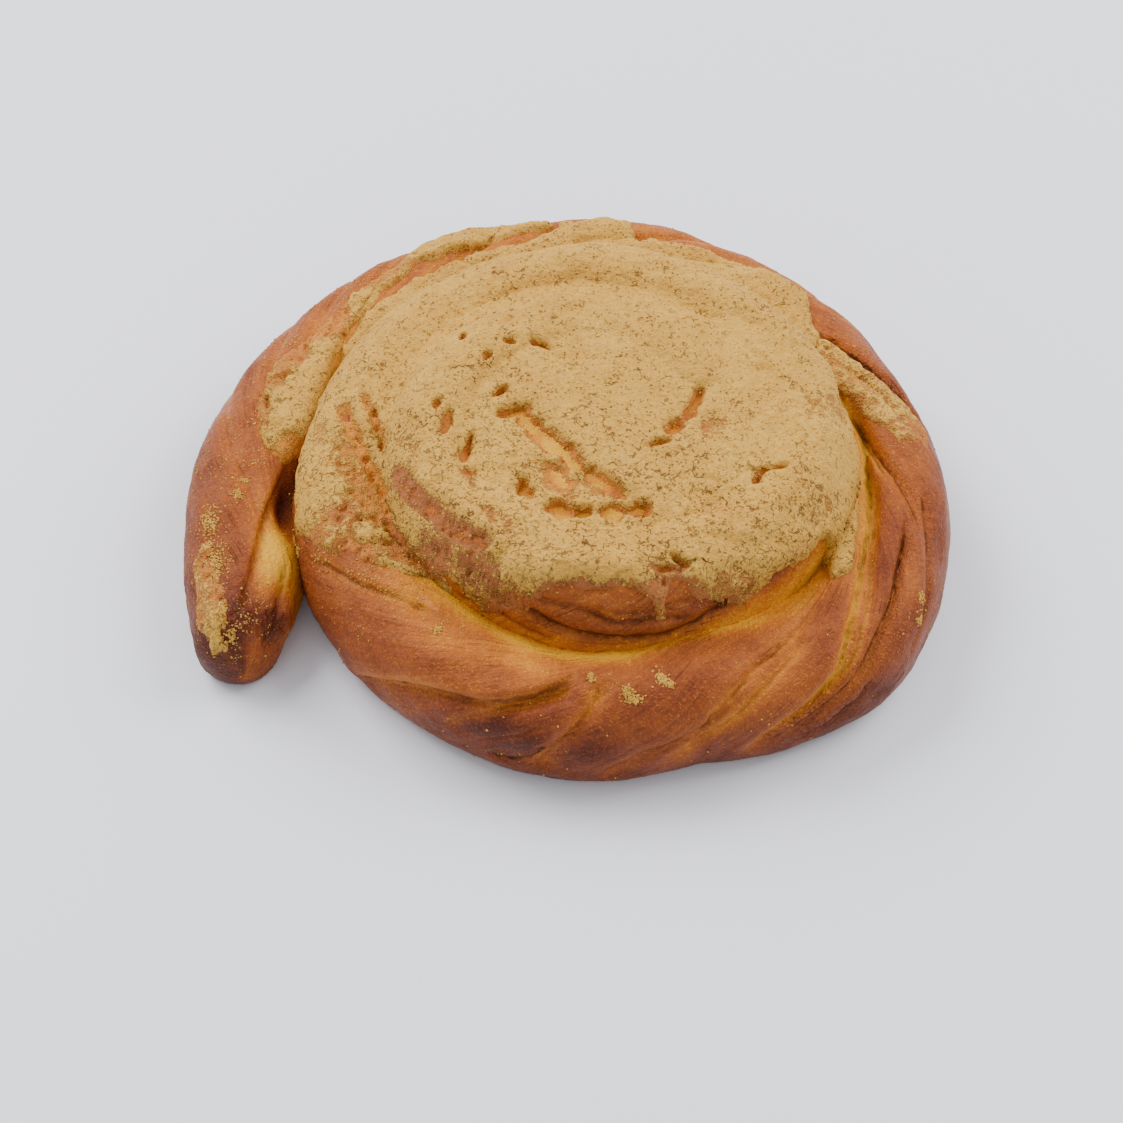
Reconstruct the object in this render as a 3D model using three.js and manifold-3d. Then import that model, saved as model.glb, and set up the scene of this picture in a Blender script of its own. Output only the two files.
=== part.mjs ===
// A tahini pastry: one rope of sweet dough, twisted and coiled into a snail,
// with its first end left free at the front left, and a baked paste of tahini
// and sugar over the top. Millimetres, +Z up.
import * as THREE from 'three';
import { mergeVertices } from 'three/addons/utils/BufferGeometryUtils.js';
import Module from 'manifold-3d';

const wasm = await Module();
wasm.setup();

// ---- driving dimensions -------------------------------------------------

// The coil runs clockwise from the free end, so its angle falls as it winds in.
const tailAngle = 212;          // where the free end lies round the coil's centre
const ropeTurns = 2.6;          // turns from the free end to the inner end

// [turns from the free end, distance from the coil's centre, half width, crest height]
const ropeStations = [
  [0.00, 98.5, 7.5, 16.0],
  [0.02, 95.3, 9.0, 18.0],
  [0.04, 90.6, 12.3, 19.8],
  [0.06, 88.6, 12.9, 21.2],
  [0.12, 85.0, 12.9, 23.8],
  [0.22, 73.0, 12.3, 28.2],
  [0.33, 61.8, 12.3, 30.9],
  [0.42, 56.3, 12.4, 30.9],
  [0.52, 54.5, 13.0, 29.0],
  [0.64, 58.9, 13.5, 28.0],
  [0.71, 60.8, 14.0, 27.0],
  [0.80, 54.8, 14.3, 25.0],
  [0.90, 59.8, 14.0, 25.0],
  [1.03, 63.6, 13.5, 28.0],
  [1.15, 58.4, 12.5, 33.0],
  [1.29, 48.5, 12.5, 36.0],
  [1.43, 38.0, 12.5, 38.5],
  [1.58, 35.5, 13.5, 39.0],
  [1.85, 37.0, 13.0, 39.0],
  [2.06, 44.5, 12.5, 40.0],
  [2.20, 35.0, 12.5, 41.0],
  [2.34, 23.0, 12.0, 41.5],
  [2.60, 14.0, 11.5, 41.5],
];

const sectionRoundness = 0.92;  // 1 is an ellipse, less is squarer
const flatShare = 0.14;         // share of the section's height that the bottom flattens
const tipLength = 11;           // how far each end of the rope takes to round off

const sectionSides = 24;
const endRings = [0.3, 1.6];    // rope lengths of the first rings, which round the tip
const ropeParts = 3;            // the rope is joined from this many stretches
const twistPerMm = 2.2;         // degrees that the folds turn for each mm of rope
const foldCount = 6;            // folds round the rope
const foldDepth = 2;
const foldPhase = 8.6;          // degrees
const foldsStart = 130;         // rope length up to which the folds are shallow
const foldsEnd = 445;           // rope length past which the dough is smooth
const tailFolds = 0.4;          // share of the depth that the folds have on the free end

const plateTurns = [0.15, 1.149];  // the stretch of rope that bounds the plate between the turns
const plateStep = 0.025;
const baseTop = 12;             // the turns are baked together up to here
const seamDepth = 2.5;          // how deep the spiral seam is underneath
const coreRadius = 36;          // in the middle they are baked together nearly to the top
const coreTop = 36;
const knobRadius = 15;          // the end of the rope, curled up in the middle
const knobTop = 41.5;
const knobTall = 16;            // half the knob's height

const gap = 0.3;                // clearance between the paste and the dough
const pasteDepth = 14;          // how deep the paste is modelled before it is cut
const troughSag = 1.6;          // the paste dips this much between two turns
const middleRadius = 38;        // inside this the paste evens out into one low dome
const middleFall = 1.6;         // how much that dome drops towards its rim

// [angle, inner edge, outer edge] of each spread of paste, in degrees and mm
// from the coil's centre.
const capOutline = [
  [-183, 0, 70], [-177, 0, 73], [-168, 0, 70], [-158, 0, 60], [-147, 0, 51], [-134, 0, 47],
  [-110, 0, 45.5], [-89, 0, 44], [-62, 0, 46], [-40, 0, 47], [-29, 0, 49.5],
  [-10, 0, 49.5], [6, 0, 47.5], [24, 0, 47], [33, 0, 50], [44, 0, 57], [65, 0, 60],
  [86, 0, 60], [94, 0, 67.5], [104, 0, 67.5], [110, 0, 64], [122, 0, 65],
  [138, 0, 69], [154, 0, 70], [166, 0, 68], [177, 0, 70],
];
const leftOutline = [
  [110, 67.5, 71], [118, 69.5, 75], [128, 71.5, 78.5], [140, 74, 80], [152, 74.5, 82],
  [162, 74, 85.5], [170, 75, 86.5], [178, 78, 85],
];
const rightOutline = [[33, 53.5, 57], [24, 50.5, 59.5], [14, 51.5, 63], [2, 57, 67]];
const tailOutline = [[-152, 93.5, 98.5], [-160, 92.5, 99.5], [-168, 91.5, 98]];

const capThickness = 2.2;
const capSides = 60;            // facets round the main spread
const capRings = 12;
const patchThickness = 2.4;
const bandStep = 3;             // degrees between the facets along a smaller spread
const bandRagged = 0.4;         // its edge is this much as ragged as the main one's

// ---- the rope's path and section ----------------------------------------

const radians = THREE.MathUtils.degToRad;
const smooth = THREE.MathUtils.smoothstep;
const lerp = THREE.MathUtils.lerp;

// A smooth curve through rows of numbers whose first column rises.
function follow(rows, column, x) {
  const last = rows.length - 1;
  const i = THREE.MathUtils.clamp(rows.findIndex((row) => row[0] > x) - 1, 0, last - 1);
  const index = x >= rows[last][0] ? last - 1 : i;
  const [a, b] = [rows[index], rows[index + 1]];
  const before = rows[Math.max(index - 1, 0)];
  const after = rows[Math.min(index + 2, last)];
  const span = b[0] - a[0];
  const u = THREE.MathUtils.clamp((x - a[0]) / span, 0, 1);
  const slopeA = (b[column] - before[column]) / (b[0] - before[0]) * span;
  const slopeB = (after[column] - a[column]) / (after[0] - a[0]) * span;
  const [u2, u3] = [u * u, u * u * u];
  return (2 * u3 - 3 * u2 + 1) * a[column] + (u3 - 2 * u2 + u) * slopeA
    + (3 * u2 - 2 * u3) * b[column] + (u3 - u2) * slopeB;
}

const station = (turn) => ({
  radius: follow(ropeStations, 1, turn),
  half: follow(ropeStations, 2, turn),
  crest: follow(ropeStations, 3, turn),
});

class Coil extends THREE.Curve {
  getPoint(share, target = new THREE.Vector3()) {
    const turn = share * ropeTurns;
    const angle = radians(tailAngle - 360 * turn);
    const { radius } = station(turn);
    return target.set(radius * Math.cos(angle), radius * Math.sin(angle), 0);
  }
}

const coil = new Coil();
coil.arcLengthDivisions = 2000;
const ropeLength = coil.getLength();

// How much of the full section is left near the rope's two ends.
function endTaper(length) {
  const nearest = Math.min(length, ropeLength - length);
  const short = THREE.MathUtils.clamp((tipLength - nearest) / tipLength, 0, 1);
  return Math.sqrt(1 - short * short);
}

// The folds wind round the rope like the strands of a twisted cord.
function foldAt(length, degrees) {
  const spacing = 360 / foldCount;
  const along = THREE.MathUtils.euclideanModulo(degrees + twistPerMm * length - foldPhase, spacing);
  const fullness = Math.sin(Math.PI * along / spacing);
  const start = lerp(tailFolds, 1, smooth(length, foldsStart, foldsStart + 90));
  const fade = 1 - smooth(length, foldsEnd - 30, foldsEnd);
  return foldDepth * start * fade * (0.25 - Math.pow(1 - fullness, 1.4));
}

function ropePoint(length, degrees, grow) {
  const share = coil.getUtoTmapping(0, length);
  const centre = coil.getPoint(share);
  const travel = coil.getTangent(share);
  const outward = new THREE.Vector3(-travel.y, travel.x, 0);
  const { half, crest } = station(share * ropeTurns);
  const tall = crest * (1 + flatShare) / 2;
  const taper = endTaper(length);
  const swell = 1 + (foldAt(length, degrees) + grow) / half;
  const round = (value) => Math.sign(value) * Math.pow(Math.abs(value), sectionRoundness);
  const across = half * taper * swell * round(Math.cos(radians(degrees)));
  const up = tall * taper * swell * round(Math.sin(radians(degrees)));
  const height = (crest - tall) * lerp(0.7, 1, taper) + up;
  return centre.addScaledVector(outward, across).setZ(Math.max(height, 0));
}

// ---- solids --------------------------------------------------------------

function solidOf(geometry) {
  geometry.deleteAttribute('normal');
  geometry.deleteAttribute('uv');
  const merged = mergeVertices(geometry, 1e-4);
  return new wasm.Manifold(new wasm.Mesh({
    numProp: 3,
    vertProperties: Float32Array.from(merged.attributes.position.array),
    triVerts: Uint32Array.from(merged.index.array),
  }));
}

function geometryOf(solid) {
  const mesh = solid.getMesh();
  const geometry = new THREE.BufferGeometry();
  geometry.setAttribute('position', new THREE.BufferAttribute(mesh.vertProperties, 3));
  geometry.setIndex(new THREE.BufferAttribute(mesh.triVerts, 1));
  return geometry;
}

const largest = (solid) => solid.decompose().sort((a, b) => b.volume() - a.volume())[0];

// Laying the cylinder on the coil mirrors it, which puts its facets' diagonals
// along the folds, so its faces are turned back out.
function turnedOut(geometry) {
  const corners = geometry.index.array;
  for (let i = 0; i < corners.length; i += 3) {
    [corners[i + 1], corners[i + 2]] = [corners[i + 2], corners[i + 1]];
  }
  return geometry;
}

// A stretch of rope: a capped cylinder whose rings are laid on the coil.
function ropeStretch(lengths, grow) {
  const rings = lengths.length - 1;
  const tube = new THREE.CylinderGeometry(1, 1, rings, sectionSides, rings);
  const place = tube.attributes.position;
  const spot = new THREE.Vector3();
  const hub = new THREE.Vector3();
  for (let i = 0; i < place.count; i += 1) {
    spot.fromBufferAttribute(place, i);
    const length = lengths[Math.round(spot.y + rings / 2)];
    if (Math.hypot(spot.x, spot.z) < 0.5) {
      hub.addVectors(ropePoint(length, 90, grow), ropePoint(length, -90, grow)).divideScalar(2);
      place.setXYZ(i, hub.x, hub.y, hub.z);
    } else {
      const degrees = THREE.MathUtils.radToDeg(Math.atan2(spot.z, spot.x));
      const side = Math.round(degrees * sectionSides / 360) * 360 / sectionSides;
      const point = ropePoint(length, side, grow);
      place.setXYZ(i, point.x, point.y, point.z);
    }
  }
  return solidOf(turnedOut(tube));
}

// Rings one section side of twist apart, so that an edge runs along each fold.
const ringStep = 360 / sectionSides / twistPerMm;
const firstRing = foldPhase / twistPerMm;
const ringLengths = [...endRings];
for (let at = firstRing; at < ropeLength - endRings[1]; at += ringStep) {
  ringLengths.push(at);
}
ringLengths.push(ropeLength - endRings[0]);

// The dough between the turns: a plate bounded by the middle line of the outer turn.
function basePlate() {
  const edge = [];
  for (let turn = plateTurns[0]; turn < plateTurns[1]; turn += plateStep) {
    const angle = radians(tailAngle - 360 * turn);
    const { radius } = station(turn);
    edge.unshift(new THREE.Vector2(radius * Math.cos(angle), radius * Math.sin(angle)));
  }
  const plate = new THREE.ExtrudeGeometry(new THREE.Shape(edge), {
    depth: baseTop - seamDepth,
    bevelEnabled: false,
  });
  return solidOf(plate.translate(0, 0, seamDepth));
}

function doughSolid(grow) {
  const each = Math.ceil(ringLengths.length / ropeParts);
  let dough = null;
  for (let i = 0; i < ropeParts; i += 1) {
    const stretch = ropeStretch(ringLengths.slice(i * each, (i + 1) * each + 1), grow);
    dough = dough ? dough.add(stretch) : stretch;
  }
  const core = new THREE.CylinderGeometry(coreRadius, coreRadius, coreTop - baseTop + 1, 24);
  core.rotateX(Math.PI / 2).translate(0, 0, (coreTop + baseTop - 1) / 2);
  const knob = new THREE.SphereGeometry(1, 16, 10).rotateX(Math.PI / 2);
  knob.scale(knobRadius + grow, knobRadius + grow, knobTall + grow);
  knob.translate(0, 0, knobTop - knobTall);
  return dough.add(basePlate()).add(solidOf(core)).add(solidOf(knob));
}

// ---- the paste over the dough --------------------------------------------

// The turns of the rope that a line out of the coil's centre crosses, outermost first.
function turnsAt(degrees) {
  const first = THREE.MathUtils.euclideanModulo(tailAngle - degrees, 360) / 360;
  const turns = [];
  for (let turn = first; turn <= ropeTurns; turn += 1) {
    turns.push(station(turn));
  }
  return turns.sort((a, b) => b.radius - a.radius);
}

// The height of the dough at a distance from the coil's centre.
function doughHeight(radius, degrees) {
  const heights = turnsAt(degrees).map(({ radius: middle, half, crest }) => {
    const off = Math.abs(radius - middle) / half;
    if (off >= 1) {
      return 0;
    }
    const tall = crest * (1 + flatShare) / 2;
    const rise = Math.pow(1 - Math.pow(off, 2 / sectionRoundness), sectionRoundness / 2);
    return crest - tall + tall * rise;
  });
  if (radius < coreRadius) {
    heights.push(coreTop);
  }
  if (radius < knobRadius) {
    heights.push(knobTop - knobTall + knobTall * Math.sqrt(1 - (radius / knobRadius) ** 2));
  }
  return Math.max(...heights);
}

// The height of a blanket laid over the turns, which sags between them.
function blanketHeight(radius, degrees) {
  const crests = [...turnsAt(degrees), { radius: 0, crest: knobTop }];
  const outer = crests.findLastIndex((turn) => turn.radius >= radius);
  if (outer < 0) {
    return doughHeight(radius, degrees);
  }
  if (outer === crests.length - 1) {
    return knobTop;
  }
  const [far, near] = [crests[outer], crests[outer + 1]];
  const share = (far.radius - radius) / (far.radius - near.radius);
  const sag = troughSag * 4 * share * (1 - share);
  const bridged = lerp(far.crest, near.crest, smooth(share, 0, 1)) - sag;
  const evened = knobTop - middleFall * (radius / middleRadius) ** 2;
  const laid = lerp(evened, bridged, smooth(radius, middleRadius / 2, middleRadius));
  return Math.max(laid, doughHeight(radius, degrees));
}

// The paste's upper face, which dips into the dough along its ragged edge.
const edgeDip = 0.8;
const edgeSlope = 4;
const edgeCling = 10;

function pasteTop(radius, degrees, toEdge, thickness) {
  const bare = doughHeight(radius, degrees);
  const laid = lerp(bare, blanketHeight(radius, degrees), smooth(toEdge, 1, edgeCling));
  return laid - edgeDip + (thickness + edgeDip) * smooth(toEdge, 0, edgeSlope);
}

// The paste's edge wanders in and out by a millimetre or two.
function ragged(degrees) {
  return 1.1 * Math.sin(radians(11 * degrees)) + 0.7 * Math.sin(radians(17 * degrees + 60));
}

function cutToDough(geometry) {
  return largest(solidOf(geometry).subtract(doughSolid(gap)));
}

// The main spread reaches in to the coil's centre: a sphere flattened on it,
// its upper half the paste's upper face.
function pasteCap() {
  const first = capOutline[0][0];
  const sheet = new THREE.SphereGeometry(1, capSides, 2 * capRings).rotateX(Math.PI / 2);
  const place = sheet.attributes.position;
  for (let i = 0; i < place.count; i += 1) {
    const [x, y, z] = [place.getX(i), place.getY(i), place.getZ(i)];
    const around = THREE.MathUtils.radToDeg(Math.atan2(y, x));
    const degrees = Math.round(around * capSides / 360) * 360 / capSides;
    const angle = THREE.MathUtils.euclideanModulo(degrees - first, 360) + first;
    const out = 1 - Math.abs(Math.asin(THREE.MathUtils.clamp(z, -1, 1))) / (Math.PI / 2);
    const reach = follow(capOutline, 2, angle) + ragged(angle);
    const radius = out * reach;
    const top = pasteTop(radius, angle, reach - radius, capThickness);
    const height = z > -1e-6 ? top : top - pasteDepth;
    place.setXYZ(i, radius * Math.cos(radians(angle)), radius * Math.sin(radians(angle)), height);
  }
  return cutToDough(sheet);
}

// A smaller spread is a band: a box bent along the rope between its two edges.
function pasteBand(outline, rows) {
  const rising = outline.slice().sort((a, b) => a[0] - b[0]);
  const [from, to] = [rising[0][0], rising[rising.length - 1][0]];
  const columns = Math.ceil((to - from) / bandStep);
  const band = new THREE.BoxGeometry(1, 1, 1, columns, rows, 1);
  const place = band.attributes.position;
  for (let i = 0; i < place.count; i += 1) {
    const [along, across] = [place.getX(i) + 0.5, place.getY(i) + 0.5];
    const angle = lerp(from, to, along);
    const inner = follow(rising, 1, angle) + bandRagged * ragged(2 * angle);
    const outer = follow(rising, 2, angle) + bandRagged * ragged(2 * angle + 90);
    const radius = lerp(outer, inner, across);
    const endways = radians(Math.min(along, 1 - along) * (to - from)) * radius;
    const toEdge = Math.min(radius - inner, outer - radius, endways);
    const top = pasteTop(radius, angle, toEdge, patchThickness);
    const height = place.getZ(i) > 0 ? top : top - pasteDepth;
    place.setXYZ(i, radius * Math.cos(radians(angle)), radius * Math.sin(radians(angle)), height);
  }
  return cutToDough(band);
}

// ---- the pastry ------------------------------------------------------------

const crust = new THREE.MeshStandardMaterial({ color: 0xc07a35, roughness: 0.55, metalness: 0 });
const tahini = new THREE.MeshStandardMaterial({ color: 0xc9ab7a, roughness: 0.95, metalness: 0 });

const pieces = {
  dough_coil: [largest(doughSolid(0)), crust],
  tahini_cap: [pasteCap(), tahini],
  tahini_left: [pasteBand(leftOutline, 6), tahini],
  tahini_right: [pasteBand(rightOutline, 5), tahini],
  tahini_tail: [pasteBand(tailOutline, 4), tahini],
};

const pastry = new THREE.Group();
for (const [name, [solid, material]] of Object.entries(pieces)) {
  const mesh = new THREE.Mesh(geometryOf(solid), material);
  mesh.name = name;
  pastry.add(mesh);
}

// The origin is under the middle of the whole pastry, where it rests.
const extent = new THREE.Box3().setFromObject(pastry);
const middle = extent.getCenter(new THREE.Vector3());
pastry.position.set(-middle.x, -middle.y, 0);

export default pastry;
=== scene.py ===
# Looks for a coiled tahini pastry: a twisted dough rope, its crust, and the baked tahini paste.
import itertools
import math

import bmesh
import bpy
import numpy as np
from mathutils import Matrix, Vector
from mathutils.bvhtree import BVHTree


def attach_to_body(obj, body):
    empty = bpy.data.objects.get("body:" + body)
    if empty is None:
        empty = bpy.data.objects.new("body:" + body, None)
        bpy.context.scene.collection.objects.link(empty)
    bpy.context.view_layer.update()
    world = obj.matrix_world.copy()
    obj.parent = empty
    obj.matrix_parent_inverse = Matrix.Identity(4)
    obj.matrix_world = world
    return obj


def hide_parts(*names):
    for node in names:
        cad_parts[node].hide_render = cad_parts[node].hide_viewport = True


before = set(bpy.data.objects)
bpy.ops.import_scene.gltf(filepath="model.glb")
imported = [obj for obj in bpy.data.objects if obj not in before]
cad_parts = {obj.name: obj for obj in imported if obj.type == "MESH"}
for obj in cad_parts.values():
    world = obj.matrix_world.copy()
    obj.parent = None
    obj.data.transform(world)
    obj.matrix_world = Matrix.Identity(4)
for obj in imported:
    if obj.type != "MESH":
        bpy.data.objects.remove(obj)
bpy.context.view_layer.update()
mm = 0.001
coilCentre = (14.908, -1.903)  # the coil's middle in the part's frame, in mm


# small maths on whole arrays

def smooth(x, low, high):
    t = np.clip((x - low) / (high - low), 0, 1)
    return t * t * (3 - 2 * t)


def mix(a, b, share):
    return a + (b - a) * share


def follow(rows, column, x):
    # a smooth curve through rows of numbers whose first column rises
    table = np.asarray(rows, float)
    keys, values = table[:, 0], table[:, column]
    i = np.clip(np.searchsorted(keys, x, side="right") - 1, 0, len(keys) - 2)
    before = np.maximum(i - 1, 0)
    after = np.minimum(i + 2, len(keys) - 1)
    span = keys[i + 1] - keys[i]
    u = np.clip((x - keys[i]) / span, 0, 1)
    slopeA = (values[i + 1] - values[before]) / (keys[i + 1] - keys[before]) * span
    slopeB = (values[after] - values[i]) / (keys[after] - keys[i]) * span
    return ((2 * u**3 - 3 * u**2 + 1) * values[i] + (u**3 - 2 * u**2 + u) * slopeA
            + (3 * u**2 - 2 * u**3) * values[i + 1] + (u**3 - u**2) * slopeB)


def latticeNoise(x, y, z, seed):
    # smooth noise between -1 and 1
    places = np.stack(np.broadcast_arrays(x, y, z), -1).astype(float)
    base = np.floor(places).astype(np.int64)
    part = places - base
    part = part * part * (3 - 2 * part)
    total = np.zeros(places.shape[:-1])
    for corner in itertools.product((0, 1), repeat=3):
        cell = base + corner
        mixed = (cell[..., 0] * 73856093) ^ (cell[..., 1] * 19349663) ^ (cell[..., 2] * 83492791)
        mixed = (mixed ^ (seed * 2654435)) & 0x7FFFFFFF
        mixed = ((mixed ^ (mixed >> 15)) * 2246822519) & 0x7FFFFFFF
        mixed = ((mixed ^ (mixed >> 13)) * 3266489917) & 0x7FFFFFFF
        weight = np.prod(np.where(corner, part, 1 - part), axis=-1)
        total += weight * ((mixed >> 8) % 4096 / 2047.5 - 1)
    return total


def cloud(x, y, z, seed, octaves=3):
    total, size = 0, 1.0
    for octave in range(octaves):
        scale = 2.03**octave
        total = total + size * latticeNoise(x * scale, y * scale, z * scale, seed + 17 * octave)
        size *= 0.5
    return total / (2 - 2 * size)


def ovalPlace(x, y, atX, atY, turn=0):
    # places along and across an oval turned by some degrees
    c, s = math.cos(math.radians(turn)), math.sin(math.radians(turn))
    return (x - atX) * c + (y - atY) * s, (y - atY) * c - (x - atX) * s


def spots(rows, x, y):
    # soft oval spots: middle x, y, half width, half height, amount, any turn in degrees
    total = np.zeros(np.broadcast(x, y).shape)
    for atX, atY, wide, tall, amount, *turn in rows:
        u, v = ovalPlace(x, y, atX, atY, *turn)
        total += amount * np.exp(-((u / wide) ** 2 + (v / tall) ** 2))
    return total


def lineDistance(line, x, y, reach):
    # how far each place is from a smooth line, below zero on one side, and how far along it is
    steps = np.linspace(0, len(line) - 1, 6 * (len(line) - 1) + 1)
    rows = [[i, *spot] for i, spot in enumerate(line)]
    px, py = follow(rows, 1, steps), follow(rows, 2, steps)
    away = np.full(x.shape, float(reach))
    along = np.zeros(x.shape)
    near = np.flatnonzero((x > px.min() - reach) & (x < px.max() + reach)
                          & (y > py.min() - reach) & (y < py.max() + reach))
    best = np.full(near.size, float(reach))
    side = np.ones(near.size)
    share = np.zeros(near.size)
    for i in range(len(px) - 1):
        dx, dy = px[i + 1] - px[i], py[i + 1] - py[i]
        ox, oy = x[near] - px[i], y[near] - py[i]
        u = np.clip((ox * dx + oy * dy) / (dx * dx + dy * dy), 0, 1)
        distance = np.hypot(ox - u * dx, oy - u * dy)
        closer = distance < best
        best = np.where(closer, distance, best)
        side = np.where(closer, np.sign(dy * ox - dx * oy), side)
        share = np.where(closer, (i + u) / (len(px) - 1), share)
    away[near] = best * side
    along[near] = share
    return away, along


def middleOf(along, fade):
    # 1 along a line, fading to 0 over a share of it at both ends
    return smooth(along, 0, fade) * (1 - smooth(along, 1 - fade, 1))


# the rope's path and section

rope = {
    "tailAngle": 212.0,
    "turns": 2.6,
    "roundness": 0.92,
    "flatShare": 0.14,
    "tip": 11.0,
    "tipBack": 4.3,  # mm by which the free end is drawn in
    # turns from the free end, distance from the coil's centre, half width, crest height
    "stations": [
        [0.00, 98.5, 7.5, 16.0], [0.02, 95.3, 9.0, 18.0], [0.04, 90.6, 12.3, 19.8],
        [0.06, 88.6, 12.9, 21.2], [0.12, 85.0, 12.9, 23.8], [0.22, 73.0, 12.3, 28.2],
        [0.33, 61.8, 12.3, 30.9], [0.42, 56.3, 12.4, 30.9], [0.52, 54.5, 13.0, 29.0],
        [0.64, 58.9, 13.5, 28.0], [0.71, 60.8, 14.0, 27.0], [0.8, 55.3, 13.8, 25.0],
        [0.84, 58.5, 12.6, 25.0], [0.9, 61.6, 12.3, 25.0], [1.03, 63.6, 13.5, 28.0],
        [1.15, 58.4, 12.5, 33.0], [1.29, 48.5, 12.5, 36.0], [1.43, 38.0, 12.5, 38.5],
        [1.58, 35.5, 13.5, 39.0], [1.78, 36.2, 13.0, 39.0], [1.86, 38.0, 14.8, 39.0],
        [1.93, 39.8, 13.9, 39.2], [2.06, 44.5, 12.5, 40.0], [2.2, 35.0, 12.5, 41.0],
        [2.34, 23.0, 12.0, 41.5], [2.6, 14.0, 11.5, 41.5],
    ],
    "around": 128,
    # mm of rope from the free end, mm between rings
    "rings": [(0, 0.35), (12, 0.4), (18, 0.9), (450, 0.9), (460, 3.0), (555, 3.0), (565, 0.95),
              (712, 0.95), (722, 4.0), (840, 4.0)],
    "skirt": 0.25,  # mm round the rope for each degree, for distances on its skin
    "fuller": 0.8,  # mm added all over, which the folds take away again
    "seamWeld": 0.02,  # mm
}


def station(turn):
    return [follow(rope["stations"], column, turn) for column in (1, 2, 3)]


def coilPoint(turn):
    angle = np.radians(rope["tailAngle"] - 360 * turn)
    radius = station(turn)[0]
    return radius * np.cos(angle), radius * np.sin(angle)


turnTable = np.linspace(0, rope["turns"], 6001)
tableX, tableY = coilPoint(turnTable)
lengthTable = np.concatenate([[0], np.cumsum(np.hypot(np.diff(tableX), np.diff(tableY)))])
ropeLength = lengthTable[-1]


def roundedPower(value):
    return np.sign(value) * np.abs(value) ** rope["roundness"]


def ropeSurface(length, degrees, push):
    # places on the rope's skin, pushed out by some mm
    drawnIn = length + rope["tipBack"] * (1 - smooth(length, 0, 15))
    turn = np.interp(drawnIn, lengthTable, turnTable)
    x, y = coilPoint(turn)
    step = 1e-4
    aheadX, aheadY = coilPoint(turn + step)
    behindX, behindY = coilPoint(turn - step)
    travel = np.hypot(aheadX - behindX, aheadY - behindY)
    outX, outY = -(aheadY - behindY) / travel, (aheadX - behindX) / travel
    _, half, crest = station(turn)
    tall = crest * (1 + rope["flatShare"]) / 2
    nearest = np.minimum(length, ropeLength - length)
    short = np.clip((rope["tip"] - nearest) / rope["tip"], 0, 1)
    taper = np.sqrt(np.clip(1 - short**2, 0, 1))
    swell = taper * (1 + push / half)
    across = half * swell * roundedPower(np.cos(np.radians(degrees)))
    up = tall * swell * roundedPower(np.sin(np.radians(degrees)))
    height = (crest - tall) * mix(0.7, 1, taper) + up
    return x + outX * across, y + outY * across, np.maximum(height, 0)


# folds wind round the rope, less steeply where its top faces the coil's middle
windRate = [  # degrees round the rope, mm of rope for each degree
    [-90, 0.3], [20, 0.3], [70, 0.42], [95, 0.6], [110, 0.95], [130, 0.5], [270, 0.5],
]
windDegrees = np.linspace(-90, 270, 721)
windStep = np.interp(windDegrees, [row[0] for row in windRate], [row[1] for row in windRate])
windTable = np.concatenate([[0], np.cumsum((windStep[1:] + windStep[:-1]) / 2 * 0.5)])
windTable -= np.interp(45, windDegrees, windTable)


def wound(degrees):
    return np.interp(degrees, windDegrees, windTable)


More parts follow.
